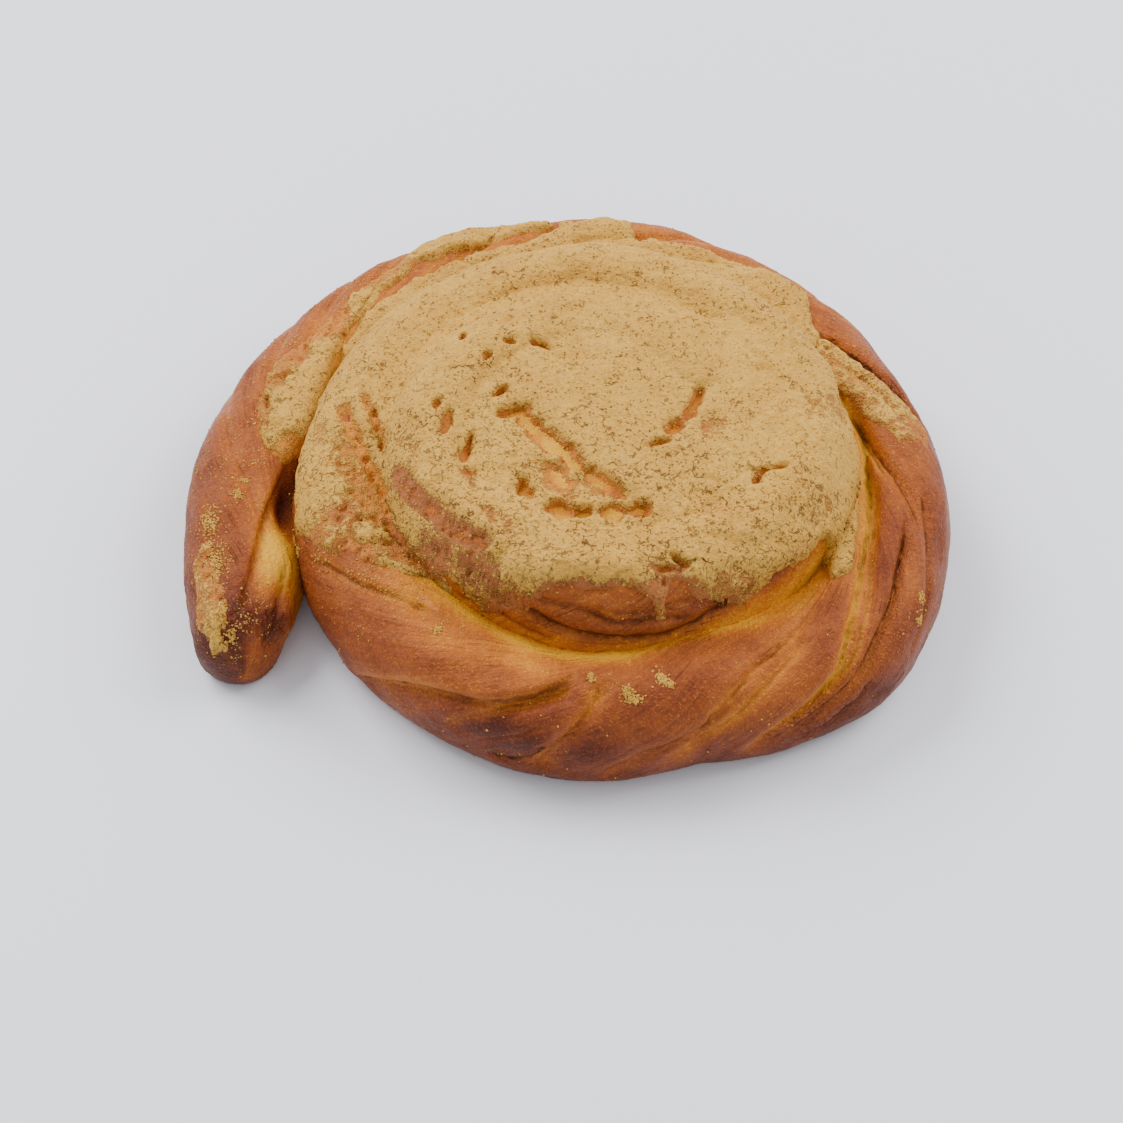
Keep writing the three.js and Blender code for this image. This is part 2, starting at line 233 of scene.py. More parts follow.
# Each fold's line in mm along the rope and degrees round it; the depth and width of its valley; its
# lap, the step up to its inner side; its slit, the crack along it, whose dark line is painted shade;
# its glow, how pale it is baked, partly pale dough in the crease and partly a painted highlight along
# it, and over how many mm. Depths and widths are in mm.
folds = [
    ([(427, 36), (423, 52), (416, 69), (410, 82), (404, 90), (398, 94)], 0.6, 3, 1.3, 0.45, 0.4, 2.4),
    ([(413, -28), (405, 2), (397, 26), (390, 40), (382, 49), (376, 62), (371, 76), (365, 98)],
     1.2, 4.5, 3, 0.5, 0.5, 3),
    ([(389, 4), (386, 22), (378, 51), (371, 71), (366, 86)], 0.3, 2, 1.4, 0.3, 0.62, 1.6),
    ([(372, -14), (371, 0), (367, 37), (363, 64), (360, 92)], 1.6, 3.6, 1.3, 0.25, 0.5, 2.2),
    ([(364, -22), (359, -5), (352, 15), (342, 30), (335, 51), (328, 73), (319, 93), (308, 109)],
     1, 3, 0.6, 0.3, 0.35, 2.4),
    ([(354, -14), (346, 12), (336, 29), (329, 50), (322, 72), (316, 88)], 0.8, 2.5, 0.4, 0.2, 0.6, 2),
    # the deep pale valley down the right
    ([(334, -20), (328, 2), (321, 26), (315, 43), (311, 62), (305, 82), (295, 100), (283, 110),
      (266, 115), (250, 108), (240, 104)], 2.4, 3.4, 1.4, 0.5, 1, 1.5),
    ([(326, 6), (318, 28), (311, 48), (306, 66), (299, 84), (290, 97), (276, 106), (262, 106)],
     1.1, 1.8, 1, 0.35, 0.8, 0.9),
    # the long torn crack beside it
    ([(330, -12), (322, 6), (316, 19), (311, 32), (307, 46), (303, 56), (298, 63), (291, 72), (282, 77),
      (274, 84)], 1.3, 3, 1.8, 0.7, 0.15, 2),
    ([(302, 8), (296, 24), (289, 38), (283, 48), (276, 60), (270, 68)], 0.9, 2.5, 1.1, 0.45, 0.1, 2),
    ([(282, 58), (276, 72), (271, 82), (266, 90), (260, 99), (252, 108), (244, 112)],
     1.3, 3.2, 0.8, 0.6, 0.35, 2.4),
    # the cracks either side of the far right strip of paste
    ([(266, 34), (258, 52), (253, 66), (247, 77), (239, 90), (231, 98)], 0.5, 2.5, 0.7, 0.8, 0.2, 2),
    ([(252, 30), (249, 38), (246, 46), (243, 58), (239, 69), (233, 79), (228, 88), (222, 98)],
     0.6, 2.5, -0.8, 0.9, 0, 2),
    ([(268, 96), (260, 104), (250, 112), (238, 110)], 0.8, 2, 0.5, 0.5, 0.6, 2),
    ([(381, -12), (376, -8), (372, 4), (371, 20)], 0.3, 1.5, -0.5, 1.1, 0.1, 1),
    ([(383, 3), (379, 16), (375, 28), (371, 44)], 0.3, 1.5, 0.3, 0.3, 0.2, 1),
    ([(308, 22), (311, 10), (316, -4), (324, -18)], 0.6, 1.5, -1, 0.9, 0, 1),
    # the free end's fold, whose outer side laps over
    ([(56, 130), (48, 126), (42, 118), (36, 110), (29, 104), (25, 101), (18, 99), (11, 98)],
     0.8, 3, -2.3, 0.3, 0, 2),
    ([(26, 128), (20, 140), (12, 146), (6, 150)], 0.6, 2, 0.8, 0.4, 0, 2),
    # wrinkles along the near wall of the raised middle
    ([(690, 24), (683, 34), (675, 36), (668, 30), (660, 28), (650, 26), (641, 35), (628, 42)],
     1.3, 2, 1.6, 0.6, 0, 1),
    ([(665, 50), (660, 40), (653, 40), (646, 33)], 0.8, 1.4, 0.9, 0.45, 0, 1),
    ([(694, 20), (682, 23), (677, 21), (668, 18)], 0.4, 1.5, 0.5, 0.3, 0, 1),
    ([(696, 40), (686, 44), (678, 46), (668, 47), (655, 46), (640, 50)], 0.6, 1.4, 0.5, 0.3, 0, 1),
]
# lumps and hollows: mm along, degrees, half spans, mm out
swellings = [
    (16, 162, 5, 24, 1.4), (6, 148, 2.6, 22, -1.6), (42, 140, 7, 16, -3.4),
    (66, 138, 10, 24, 2.2), (26, 132, 6, 20, 1.4),
    (381, 28, 9, 22, 0.6), (340, 66, 10, 24, 0.7), (300, 40, 8, 20, 0.5),
    (395, 66, 10, 18, 0.5), (272, 50, 9, 24, 0.6),
]
backFolds = {"first": 66, "last": 236, "spacing": 21.5, "from": -60, "to": 125, "deep": 1.5}


def addBackFolds():
    # the folds round the back, which the picture hides
    chance = np.random.default_rng(7)
    for at in np.arange(backFolds["first"], backFolds["last"], backFolds["spacing"]):
        middle = at + chance.uniform(-4, 4)
        strength = mix(0.45, 1.0, float(smooth(middle, 90, 200)))
        ends = np.linspace(backFolds["from"], backFolds["to"], 8)
        line = [(middle - float(wound(end)), float(end)) for end in ends]
        folds.append((line, backFolds["deep"] * strength, chance.uniform(3, 5), 0.8 * strength,
                      0.4 * strength, 0.55 * strength, 4))


addBackFolds()


foldShape = {
    "reach": 22,  # mm to each side over which a fold shapes the skin
    "fade": 0.16,  # share of its line over which it fades at both ends
    "core": 0.45,  # the narrow part of its valley, as a share of its width
    "lapStep": 0.6,  # mm over which its lap steps up
    "lapReach": 5.0,  # mm over which the lap dies away
    "slitWide": 0.75,  # mm
    "noCrack": 4.0,  # mm, the distance to a crack that places without one hold
}


def noCracks(shape):
    return [np.full(shape, foldShape["noCrack"]), np.zeros(shape)]


def foldFields(length, degrees):
    # relief in mm, how pale the bake is, partly pale dough and partly a painted highlight, and for odd
    # and even folds the nearest crack's distance and strength; the crack's dark line is painted shade
    relief = np.zeros(length.shape)
    paleAndHighlight = np.zeros(length.shape)
    cracks = [noCracks(length.shape) for family in "AB"]
    skirt, reach = rope["skirt"], foldShape["reach"]
    bend = 1.1 * cloud(length / 11, degrees / 40, 0, 3, 2)
    for index, (places, deep, wide, lap, slit, paleAndHighlightAmount, paleAndHighlightWide) in enumerate(folds):
        line = [(at, turn * skirt) for at, turn in places]
        away, along = lineDistance(line, length + bend, degrees * skirt, reach)
        far = np.abs(away)
        shown = middleOf(along, foldShape["fade"]) * (far < reach)
        valley = 0.6 * np.exp(-(away / (foldShape["core"] * wide)) ** 2) + 0.5 * np.exp(-far / wide)
        step = np.tanh(away / foldShape["lapStep"]) * np.exp(-far / foldShape["lapReach"])
        relief -= deep * shown * valley
        relief += 0.5 * lap * shown * step
        relief -= 0.8 * slit * shown * np.exp(-(away / foldShape["slitWide"]) ** 2)
        # pale dough in the crease, and a painted highlight along some folds
        paleAndHighlight = np.maximum(paleAndHighlight, paleAndHighlightAmount * shown * np.exp(-(far / paleAndHighlightWide) ** 1.5))
        strength = min(slit * 1.2, 1) * shown * (1 - smooth(far, 0.9, 1.9))
        family = cracks[index % 2]
        better = strength > family[1]
        family[0] = np.where(better, away, family[0])
        family[1] = np.where(better, strength, family[1])
    return relief, paleAndHighlight, cracks


# how dark the crust is baked, with painted shade and painted light worked in: 0 pale yellow, 0.5 golden,
# 1 dark brown
bakeAndShade = {
    # round the rope: darker low on its outer side, partly from browning and partly painted shade
    "round": [(-90, 0.72), (-40, 0.86), (0, 0.8), (35, 0.7), (70, 0.62), (95, 0.54), (108, 0.32),
              (122, 0.12), (150, 0.06), (180, 0.2), (270, 0.6)],
    "along": [(0, 0.3), (7, 0.24), (16, 0.1), (26, 0.02), (60, 0.0), (180, -0.06), (250, -0.02),
              (300, 0.05), (320, 0.05), (335, 0.03), (352, 0.03), (372, 0.06), (388, 0.02),
              (400, -0.04), (440, -0.04)],
    # round the wall of the raised middle, which is baked otherwise; its foot is made paler with painted
    # light
    "wall": [(-90, 0.1), (-4, 0.1), (8, 0.18), (18, 0.34), (25, 0.5), (34, 0.64), (44, 0.58),
             (60, 0.55), (76, 0.55), (90, 0.4), (270, 0.4)],
    "wallFrom": (480, 520),  # mm along
    "creases": 0.04,
    # mm along, degrees, half spans, amount; some of them paint shade on the near side of the rope and
    # light on the wall of the raised middle
    "patches": [
        (383, 26, 8, 18, 0.3), (372, 16, 7, 18, 0.18), (369, 56, 5, 22, 0.12),
        (352, 40, 7, 26, 0.04), (392, 84, 12, 12, -0.14), (378, 92, 10, 10, -0.28),
        (290, 112, 34, 12, 0.24), (269, 86, 20, 18, 0.1), (296, 56, 10, 16, -0.14),
        (325, 39, 10, 16, -0.1), (354, 12, 16, 14, 0.16), (411, 64, 14, 20, 0.05),
        (41, 78, 24, 24, 0.09), (318, 86, 6, 12, -0.14), (372, 106, 16, 7, -0.16),
        (632, 12, 24, 12, -0.2), (632, 40, 14, 9, 0.34),
        (692, 47, 12, 14, -0.25), (368, 63, 6, 14, 0.08), (353, 61, 9, 16, 0.08),
        (308, 4, 9, 16, 0.16), (6, 148, 7, 24, 0.3), (276, 44, 12, 20, 0.06),
        (325, 36, 10, 12, -0.05),
        (396, 74, 10, 14, -0.14), (408, 20, 10, 26, 0.06), (292, 88, 10, 14, 0.12),
        (246, 60, 14, 20, 0.06), (28, 95, 14, 14, 0.08), (6, 90, 8, 60, 0.1),
        (50, 142, 18, 36, 0.62), (28, 125, 6.5, 19, -0.52), (13, 136, 8, 44, 0.66),
        (41, 140, 6, 12, 0.4), (318, 12, 36, 24, -0.12), (306, 82, 22, 20, 0.1),
        (352, 48, 7, 18, -0.08), (400, 50, 14, 20, 0.08), (620, 30, 14, 12, -0.3),
        (704, 24, 9, 14, -0.25), (420, 96, 10, 8, -0.2), (362, 114, 40, 7, -0.24),
        (318, 112, 16, 8, -0.16), (326, 60, 8, 24, -0.08),
    ],
}


def bakeAndShadeField(length, degrees, paleAndHighlight):
    rounds = np.interp(degrees, *zip(*bakeAndShade["round"])) + np.interp(length, *zip(*bakeAndShade["along"]))
    wall = np.interp(degrees, *zip(*bakeAndShade["wall"]))
    value = mix(rounds, wall, smooth(length, *bakeAndShade["wallFrom"]))
    value = value + spots(bakeAndShade["patches"], length, degrees)
    value = value + 0.10 * cloud(length / 10, degrees / 30, 4, 31)
    # the folds' share pulls it towards the creases' value: pale dough, and a painted highlight along some
    # folds
    return np.clip(value * (1 - paleAndHighlight) + bakeAndShade["creases"] * paleAndHighlight, 0, 1)


# pieces from grids

def gridPiece(name, columns, rows):
    # a flat grid with a UV map, ready to be wrapped; returns its object and its 0 to 1 places
    shape = bmesh.new()
    shape.loops.layers.uv.new("skinMap")
    bmesh.ops.create_grid(shape, x_segments=columns, y_segments=rows, size=1, calc_uvs=True)
    piece = pieceFrom(name, shape)
    u, v, _ = (vertexPlaces(piece).T + 1) / 2
    return piece, u, v


def pieceFrom(name, shape):
    data = bpy.data.meshes.new(name)
    shape.to_mesh(data)
    shape.free()
    return addObject(name, data)


def addObject(name, data):
    added = bpy.data.objects.new(name, data)
    bpy.context.scene.collection.objects.link(added)
    return added


def vertexPlaces(piece):
    flat = np.zeros(len(piece.data.vertices) * 3)
    piece.data.vertices.foreach_get("co", flat)
    return flat.reshape(-1, 3)


def placeVertices(piece, x, y, z):
    # moves every vertex to its place round the coil's centre, given in mm
    places = np.stack([x + coilCentre[0], y + coilCentre[1], z], -1) * mm
    piece.data.vertices.foreach_set("co", places.ravel())
    piece.data.update()


def paintValue(piece, name, values):
    layer = piece.data.attributes.new(name, "FLOAT", "POINT")
    layer.data.foreach_set("value", np.asarray(values, float).ravel())


def remapSkin(piece, change):
    # rewrites the UV map from its own 0 to 1 values
    layer = piece.data.uv_layers["skinMap"]
    places = np.zeros(len(layer.data) * 2)
    layer.data.foreach_get("uv", places)
    places = places.reshape(-1, 2)
    u, v = change(places[:, 0], places[:, 1])
    layer.data.foreach_set("uv", np.stack([u, v], -1).ravel())


def storeMesh(piece, shape):
    # puts an edited mesh back, with every face turned out and smooth
    bmesh.ops.recalc_face_normals(shape, faces=shape.faces)
    for face in shape.faces:
        face.smooth = True
    shape.to_mesh(piece.data)
    shape.free()


def closeUp(piece, distance):
    # joins vertices that lie on each other
    shape = bmesh.new()
    shape.from_mesh(piece.data)
    bmesh.ops.remove_doubles(shape, verts=shape.verts, dist=distance)
    storeMesh(piece, shape)


def attach(piece, material, slotName, *nodes):
    piece.data.materials.append(material)
    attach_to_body(piece, "root")
    if nodes:
        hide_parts(*nodes)


# the dough rope

def ringLengths():
    at, spacing = zip(*rope["rings"])
    lengths = [0.0]
    while lengths[-1] < ropeLength:
        lengths.append(lengths[-1] + float(np.interp(lengths[-1], at, spacing)))
    lengths[-1] = ropeLength
    return np.array(lengths)


def skinDegrees(v):
    # packs the columns closer over the top of the rope, with the seam underneath
    w = 2 * v - 1
    return 90 + 180 * (w - 0.11 * np.sin(np.pi * w))


# where the crust is torn and lumpy: mm along, degrees, half spans, amount
roughSpots = [
    (6, 105, 12, 50, 1.0), (15, 160, 9, 22, 1.0), (672, 38, 26, 15, 1.0),
    (645, 42, 16, 12, 0.8), (398, 4, 14, 9, 0.8), (404, 92, 9, 12, 0.4),
    (662, 60, 34, 14, 0.9), (14, 125, 9, 34, 1.0), (306, 0, 9, 16, 1.0),
    (286, 34, 8, 12, 0.5),
]


def ropeRelief(length, degrees):
    relief, paleAndHighlight, cracks = foldFields(length, degrees)
    acrossFolds = length + wound(degrees)
    around = degrees * rope["skirt"]
    relief += rope["fuller"] + 0.9 * cloud(length / 22, degrees / 50, 0.5, 11)
    relief += 0.45 * cloud(length / 8, degrees / 45, 3.5, 13, 2) * (1 - smooth(degrees, 60, 100))
    relief += 0.17 * cloud(acrossFolds / 1.9, around / 14, 0.5, 23, 2)
    relief += 0.20 * cloud(length / 3.0, around / 3.0, 2.5, 29, 2)
    rough = np.clip(spots(roughSpots, length, degrees), 0, 1)
    relief += rough * 0.95 * cloud(length / 3.2, around / 2.6, 7, 41, 3)
    relief += spots(swellings, length, degrees)
    return relief, paleAndHighlight, cracks


def paintCracks(piece, cracks):
    for family, (away, deep) in zip("AB", cracks):
        paintValue(piece, "crackAway" + family, away)
        paintValue(piece, "crackDeep" + family, deep)


def makeRope():
    lengths = ringLengths()
    rings = len(lengths) - 1
    piece, u, v = gridPiece("doughRope", rings, rope["around"])
    length = np.interp(u * rings, np.arange(rings + 1), lengths)
    degrees = skinDegrees(v)
    relief, paleAndHighlight, cracks = ropeRelief(length, degrees)
    placeVertices(piece, *ropeSurface(length, degrees, relief))
    paintValue(piece, "bakeAndShade", bakeAndShadeField(length, degrees, paleAndHighlight))
    paintCracks(piece, cracks)
    paintValue(piece, "dust", np.clip(dustField(length, degrees), 0, 1))
    remapSkin(piece, lambda a, b: (
        (np.interp(a * rings, np.arange(rings + 1), lengths) + wound(skinDegrees(b))) * mm,
        skinDegrees(b) * rope["skirt"] * mm))
    closeUp(piece, rope["seamWeld"] * mm)
    print("rope", len(piece.data.polygons), "faces")
    return piece


# where grains of paste and sugar lie on the crust: mm along, degrees, half spans, amount
dustSpots = [
    (424, 62, 16, 28, 1.0), (410, 88, 12, 12, 0.9), (440, 40, 14, 20, 0.7),
    (62, 96, 22, 18, 0.8), (42, 86, 10, 22, 0.6), (22, 72, 9, 18, 0.9),
    (12, 98, 8, 18, 0.6), (7, 72, 6, 30, 0.5), (98, 74, 30, 18, 0.9), (130, 74, 30, 18, 0.7),
    (359, 78, 4, 7, 0.3), (348, 76, 4, 9, 0.3), (376, 4, 8, 12, 0.3),
    (672, 46, 30, 9, 0.35), (646, 46, 18, 9, 0.3), (250, 72, 18, 16, 0.6),
    (296, 34, 6, 14, 0.4), (700, 40, 14, 16, 0.5), (395, 10, 16, 14, 0.3),
    (60, 40, 50, 40, 0.2), (16, 140, 8, 30, 0.5), (300, 20, 40, 30, 0.08),
]
dustEverywhere = 0.015


def dustField(length, degrees):
    clumpy = smooth(cloud(length / 3.2, degrees / 13, 9, 57, 2), -0.25, 0.35)
    return spots(dustSpots, length, degrees) * clumpy + dustEverywhere


# the dough under the paste in the middle, and between the turns underneath
heart = {
    # distance from the coil's centre, height
    "profile": [(0, 2.6), (30, 2.6), (52, 2.6), (53, 5), (53, 12), (40, 14), (37.5, 20), (37, 34)],
    "top": (36.5, 38.0),  # its rim's radius, and its height before it is fitted
    "topRings": 24,
    "below": 0.5,  # mm under the top of the turns
    "steps": 120,
    "weld": 0.01,  # mm
    "dust": 0.02,
}


def makeHeart():
    (rim, top), rings = heart["top"], heart["topRings"]
    profile = heart["profile"] + [(rim * (1 - i / rings), top) for i in range(rings + 1)]
    shape = bmesh.new()
    corners = [shape.verts.new((radius * mm, 0, height * mm)) for radius, height in profile]
    edges = [shape.edges.new(pair) for pair in zip(corners, corners[1:])]
    bmesh.ops.spin(shape, geom=corners + edges, cent=(0, 0, 0), axis=(0, 0, 1),
                   angle=math.tau, steps=heart["steps"], use_merge=True)
    for vert in shape.verts:
        if vert.co.z > (top - 2) * mm:
            x, y = np.array([vert.co.x]) / mm, np.array([vert.co.y]) / mm
            dents = 0.5 * float(cloud(x / 5, y / 5, 1, 77, 2)[0])
            vert.co.z = (float(blanket(x, y)[0]) - heart["below"] + dents) * mm
    bmesh.ops.translate(shape, verts=shape.verts, vec=(coilCentre[0] * mm, coilCentre[1] * mm, 0))
    piece = pieceFrom("doughHeart", shape)
    closeUp(piece, heart["weld"] * mm)
    x, y, z = vertexPlaces(piece).T / mm
    paintValue(piece, "bakeAndShade", np.clip(0.16 + 0.5 * cloud(x / 5, y / 5, z / 5, 78, 2), 0, 1))
    paintCracks(piece, [noCracks(x.shape)] * 2)
    paintValue(piece, "dust", np.full(x.shape, heart["dust"]))
    print("heart", len(piece.data.polygons), "faces")
    return piece


# the paste

paste = {
    "spacing": 0.53,
    "margin": 3,  # mm of grid round the outline
    "castMargin": 3.5,  # mm round it where the dough's height is looked up
    "castFrom": 80,
    "knobTop": 41.5,
    "middleRadius": 38.0,
    "middleFall": 1.6,  # mm from the middle to that radius
    "sag": 1.6,  # mm between two turns
    "cling": 9.0,  # mm from its edge over which the paste stops following the dough
    "lip": 1.9,  # mm over which its edge rises
    "tuck": 0.35,  # mm by which its edge starts below the dough's skin
    "raggedMargin": 0.9,  # mm kept outside the outline
    "lowest": 3.0,  # mm over the floor
    "underside": 1.4,  # mm beneath the top
    "ceiling": 43.0,  # mm, over which lumps are pressed down
    "pressed": 0.62,
    "lineReach": 8,  # mm to each side of a gash or streak
    "grooveReach": 12,
}
pasteSheets = {
    "pasteCap": {
        "node": "tahini_cap", "thick": 1.9, "ragged": 1.0,
        "edge": [(42.3, 31.3), (41.1, 37.5), (40, 43.7), (36.4, 46.3), (25, 54.1), (13.3, 58.6),
                 (1.5, 59.4), (-1.1, 65), (-8, 68), (-17.6, 66.8), (-19.9, 62.1), (-34, 57.6),
                 (-43.5, 53.6), (-51.6, 49.2), (-58.2, 43.8), (-63.4, 38), (-67.0, 30.5), (-68.9, 22),
                 (-70.4, 14), (-72.8, 6), (-74.6, -3), (-74.8, -12), (-73.3, -20.6), (-70, -25.5),
                 (-66.1, -29), (-59.4, -31), (-55.4, -34), (-50, -35), (-44.1, -35.6), (-38.5, -38.4),
                 (-33.1, -41.8), (-28.7, -43.8), (-24.0, -44.6), (-17.1, -45.4), (-7.9, -45.4),
                 (-2.0, -45.2), (3.0, -46.8), (5.4, -48.2), (7.5, -44), (13.1, -44.3), (21.9, -41.9),
                 (28.2, -37.1), (35.1, -30.9), (41.2, -24.8), (42.6, -34.6), (45.4, -33),
                 (47.7, -24.9), (49.4, -15), (49.7, -3.8), (46.7, 3.8), (44.5, 12), (43.1, 17.2),
                 (38.6, 23)],
        # oval gaps: middle, half length, half width, turn
        "pits": [(-26.2, -0.8, 2.6, 0.8, 10), (-17.0, -18.4, 3.0, 1.4, -50),
                 (0.9, -26.9, 2.3, 1.7, 0), (-24.2, -21.3, 2.0, 1.3, -60),
                 (-16.4, -27.1, 2.2, 1.9, -40), (-11.4, -27.6, 1.5, 0.9, 0), (-5.5, -27.5, 2.4, 1.4, -10),
                 (-41.5, -4.9, 2.2, 0.6, 80), (-36.9, -11.5, 2.6, 0.7, 75), (-36.2, -17.5, 1.0, 0.8, 0),
                 (-43.6, -0.4, 0.9, 0.5, 60), (8.3, -5.6, 1.6, 1.1, 50),
                 (4.8, -10.1, 1.6, 0.5, 20), (25.6, -18.2, 1.0, 0.6, 60), (29.0, -15.4, 2.0, 0.35, 10),
                 (-33.2, 13.4, 0.9, 0.4, 60), (-30.0, 4.5, 1.1, 0.6, 40), (-28.2, 17.7, 0.8, 0.4, 0),
                 (-21.5, 17.6, 1.6, 0.5, -20), (-38.7, 19.3, 0.7, 0.4, 70), (5.6, -41.6, 1.2, 0.4, 0),
                 (8.7, -40.2, 1.4, 0.5, -30)],
        # narrow gashes and their half widths
        "gashes": [([(-25.6, -1.2), (-22.6, -5.2), (-18.4, -9.2), (-14.2, -14.2),
                     (-12.2, -16.6)], 1.7),
                   ([(-11.0, -17.0), (-7.3, -20.4), (-2.9, -23.8)], 0.9),
                   ([(14.0, 5.2), (12.6, 1.2), (10.6, -3.2)], 0.7)],
        # thin, crumbly ovals: middle, half length, half width, turn, amount, how brown beneath
        "bald": [(-15, -46.0, 15, 2.4, 0, 1.0, 1.0),
                 (-58, -17, 11, 5, -58, 0.7, 0.3), (-63, -8, 10, 5, -62, 0.6, 0.3),
                 (-64, -22, 9, 6, 20, 0.65, 0.5), (-60, -30, 7, 3, -20, 0.9, 0.5),
                 (-50, -31, 8, 3.4, -25, 0.8, 0.6), (-17, -19.2, 7, 4, -45, 0.75, 0.3),
                 (-20, -8, 9, 3.4, -48, 0.5, 0.3),
                 (-9, -22, 5, 1.6, -40, 0.6, 0.5), (16, -5, 5, 3.5, 40, 0.6, 0.5),
                 (6, -42, 7, 1.6, -5, 0.6, 0.9), (8.1, -4.6, 3.2, 1.6, 40, 0.7, 0.4),
                 (43, 4, 6, 2.5, 95, 0.55, 0.5), (39, 0, 9, 4, 95, 0.4, 0.4),
                 (-27, -44, 7, 2.6, -20, 0.9, 0.9), (-69, 0, 7, 2.5, -75, 0.4, 0.1),
                 (-42, -33, 8, 3, -38, 0.75, 0.9), (39, -22, 7, 2, 50, 0.5, 0.6),
                 (-33, -38.6, 8, 2.6, -30, 0.8, 0.9), (-29, -31, 8, 2.4, -42, 0.55, 0.9),
                 (8, -45, 12, 3, 4, 0.8, 0.8), (20, -41, 8, 2.4, 20, 0.6, 0.8),
                 (-36, -20, 6, 1.6, -48, 0.5, 0.8), (-49, -10, 8, 2.5, -60, 0.4, 0.4)],
        # worn streaks: line, half width, amount, how brown beneath
        "streaks": [([(-66.2, 9.2), (-63.2, 1.2), (-60.2, -6.2), (-57.0, -12.1),
                      (-53.1, -18.4)], 1.6, 1.0, 0.1),
                    ([(-61.3, 10.4), (-57.7, 2.2), (-54.1, -7.0)], 1.2, 0.8, 0.1),
                    ([(-53.3, -11.6), (-47.5, -21.8), (-42.4, -27.0), (-37.4, -32.2),
                      (-29, -37.6)], 1.9, 1.1, 1.0),
                    ([(-56, -20), (-49.2, -29.4), (-42.4, -35.4)], 1.3, 0.9, 0.7)],
        # line, depth, half width
        "grooves": [([(-27, 1), (-25, -8), (-18, -15), (-8, -21), (3, -28)], 1.0, 3.2),
                    ([(-13.6, 6), (-18.2, 16.5), (-16.3, 25.3), (-5.1, 28.5), (12.8, 30.4),
                      (26.2, 24.8), (30.5, 16.1), (24.7, 7.4)], 0.9, 2.4),
                    ([(-34, 20), (-40, 6), (-38, -10), (-33, -20), (-22, -30), (-6, -35)], 0.9, 2.6),
                    ([(22, -2), (30, -8), (30, -18), (20, -27)], 0.45, 2.6)],
        # soft spots: middle, half width, half height, amount, turn
        "smooth": [(-12.5, -40.8, 10, 2.6, 1.2, -2)],
        "lumps": [(-12.5, -41.0, 9.5, 2.0, 2.0, -2), (29, -17, 5, 2.5, 0.8, 60), (41, -8, 3, 9, 0.7, 5),
                  (-22, 8, 5, 9, 0.5, 10), (12, 17, 12, 8, 0.4), (42, 20, 3, 5, 0.7)],
    },
    "pasteLeft": {
        "node": "tahini_left", "thick": 1.7, "ragged": 1.0,
        "edge": [(-19, 66.4), (-32.1, 66.2), (-43.8, 63.7), (-53.1, 58.1), (-60.1, 51.5), (-66.6, 43.6),
                 (-72.8, 36), (-79.2, 29.5), (-83.6, 23.9), (-85.4, 17), (-85.2, 10), (-83.3, 3.2),
                 (-79.4, -0.5), (-74.2, 2.2), (-72.2, 8), (-70.8, 14), (-70.2, 20), (-69.4, 26),
                 (-67.6, 33), (-63.4, 40), (-59, 46), (-51, 54), (-41, 58.4), (-32, 61.4), (-21, 64)],
        "bald": [(-71, 36, 8, 4, 50, 0.95, 0.3), (-78, 28, 6, 4, 60, 0.85, 0.4),
                 (-58, 52, 9, 4, 30, 0.7, 0.3), (-84, 12, 7, 3, 90, 0.6, 0.4),
                 (-77, 3.0, 6, 4, 20, 0.8, 0.0), (-82, 22, 5, 6, 0, 0.6, 0.3)],
        "lumps": [(-78, 9, 6, 4, 0.7, 60), (-76.5, 19, 4, 5, 0.5, 20)],
    },
    "pasteRight": {
        "node": "tahini_right", "thick": 0.9, "ragged": 1.0,
        "edge": [(41.6, 31.6), (46.2, 30.2), (50.4, 26.2), (55.0, 22.0), (59.2, 18.3), (63.0, 15.9),
                 (65.1, 13.6), (66.7, 6.6), (66.2, 3.4), (63.3, 2.8), (59.3, 3.6), (55.7, 7.2),
                 (51.9, 10.1), (47.9, 15.1), (43.0, 18.2)],
        "bald": [(50, 20, 10, 2.5, -45, 0.6, 0.2), (63, 7, 8, 5, -60, 0.7, 0.6),
                 (57, 16, 8, 2, -40, 0.5, 0.7), (44, 24, 4, 6, 0, 0.6, 0.2),
                 (55, 15, 20, 9, -38, 0.42, 0.6)],
    },
    "pasteTail": {
        "node": "tahini_tail", "thick": 1.4, "ragged": 2.4,
        "edge": [(-95.0, -22), (-92.4, -25.4), (-89.6, -30.7), (-89.4, -36.7), (-88.9, -42.4),
                 (-88.3, -45.2), (-91, -46.2), (-93.4, -42), (-94.9, -34.7), (-95.6, -27.6)],
        "bald": [(-92, -33, 14, 6, 80, 0.62, 0.4), (-93, -27, 4, 4, 80, 0.85, 0.5)],
        "lumps": [(-91.4, -42, 3, 2, 0.5, 70)],
    },
}


def insideDistance(edge, x, y):
    # mm in from a closed outline, below zero outside it
    corners = np.asarray(edge + [edge[0]], float)
    away = np.full(x.shape, 1e9)
    inside = np.zeros(x.shape, bool)
    for (ax, ay), (bx, by) in zip(corners[:-1], corners[1:]):
        dx, dy = bx - ax, by - ay
        u = np.clip(((x - ax) * dx + (y - ay) * dy) / (dx * dx + dy * dy), 0, 1)
        away = np.minimum(away, np.hypot(x - ax - u * dx, y - ay - u * dy))
        crosses = (ay > y) != (by > y)
        level = by - ay if by != ay else 1e-9
        inside ^= crosses & (x < (bx - ax) * (y - ay) / level + ax)
    return np.where(inside, away, -away)


def ovalField(x, y, oval):
    # 1 on an oval's edge, less inside it
    atX, atY, wide, tall, turn = oval[:5]
    u, v = ovalPlace(x, y, atX, atY, turn)
    return np.sqrt((u / wide) ** 2 + (v / tall) ** 2)


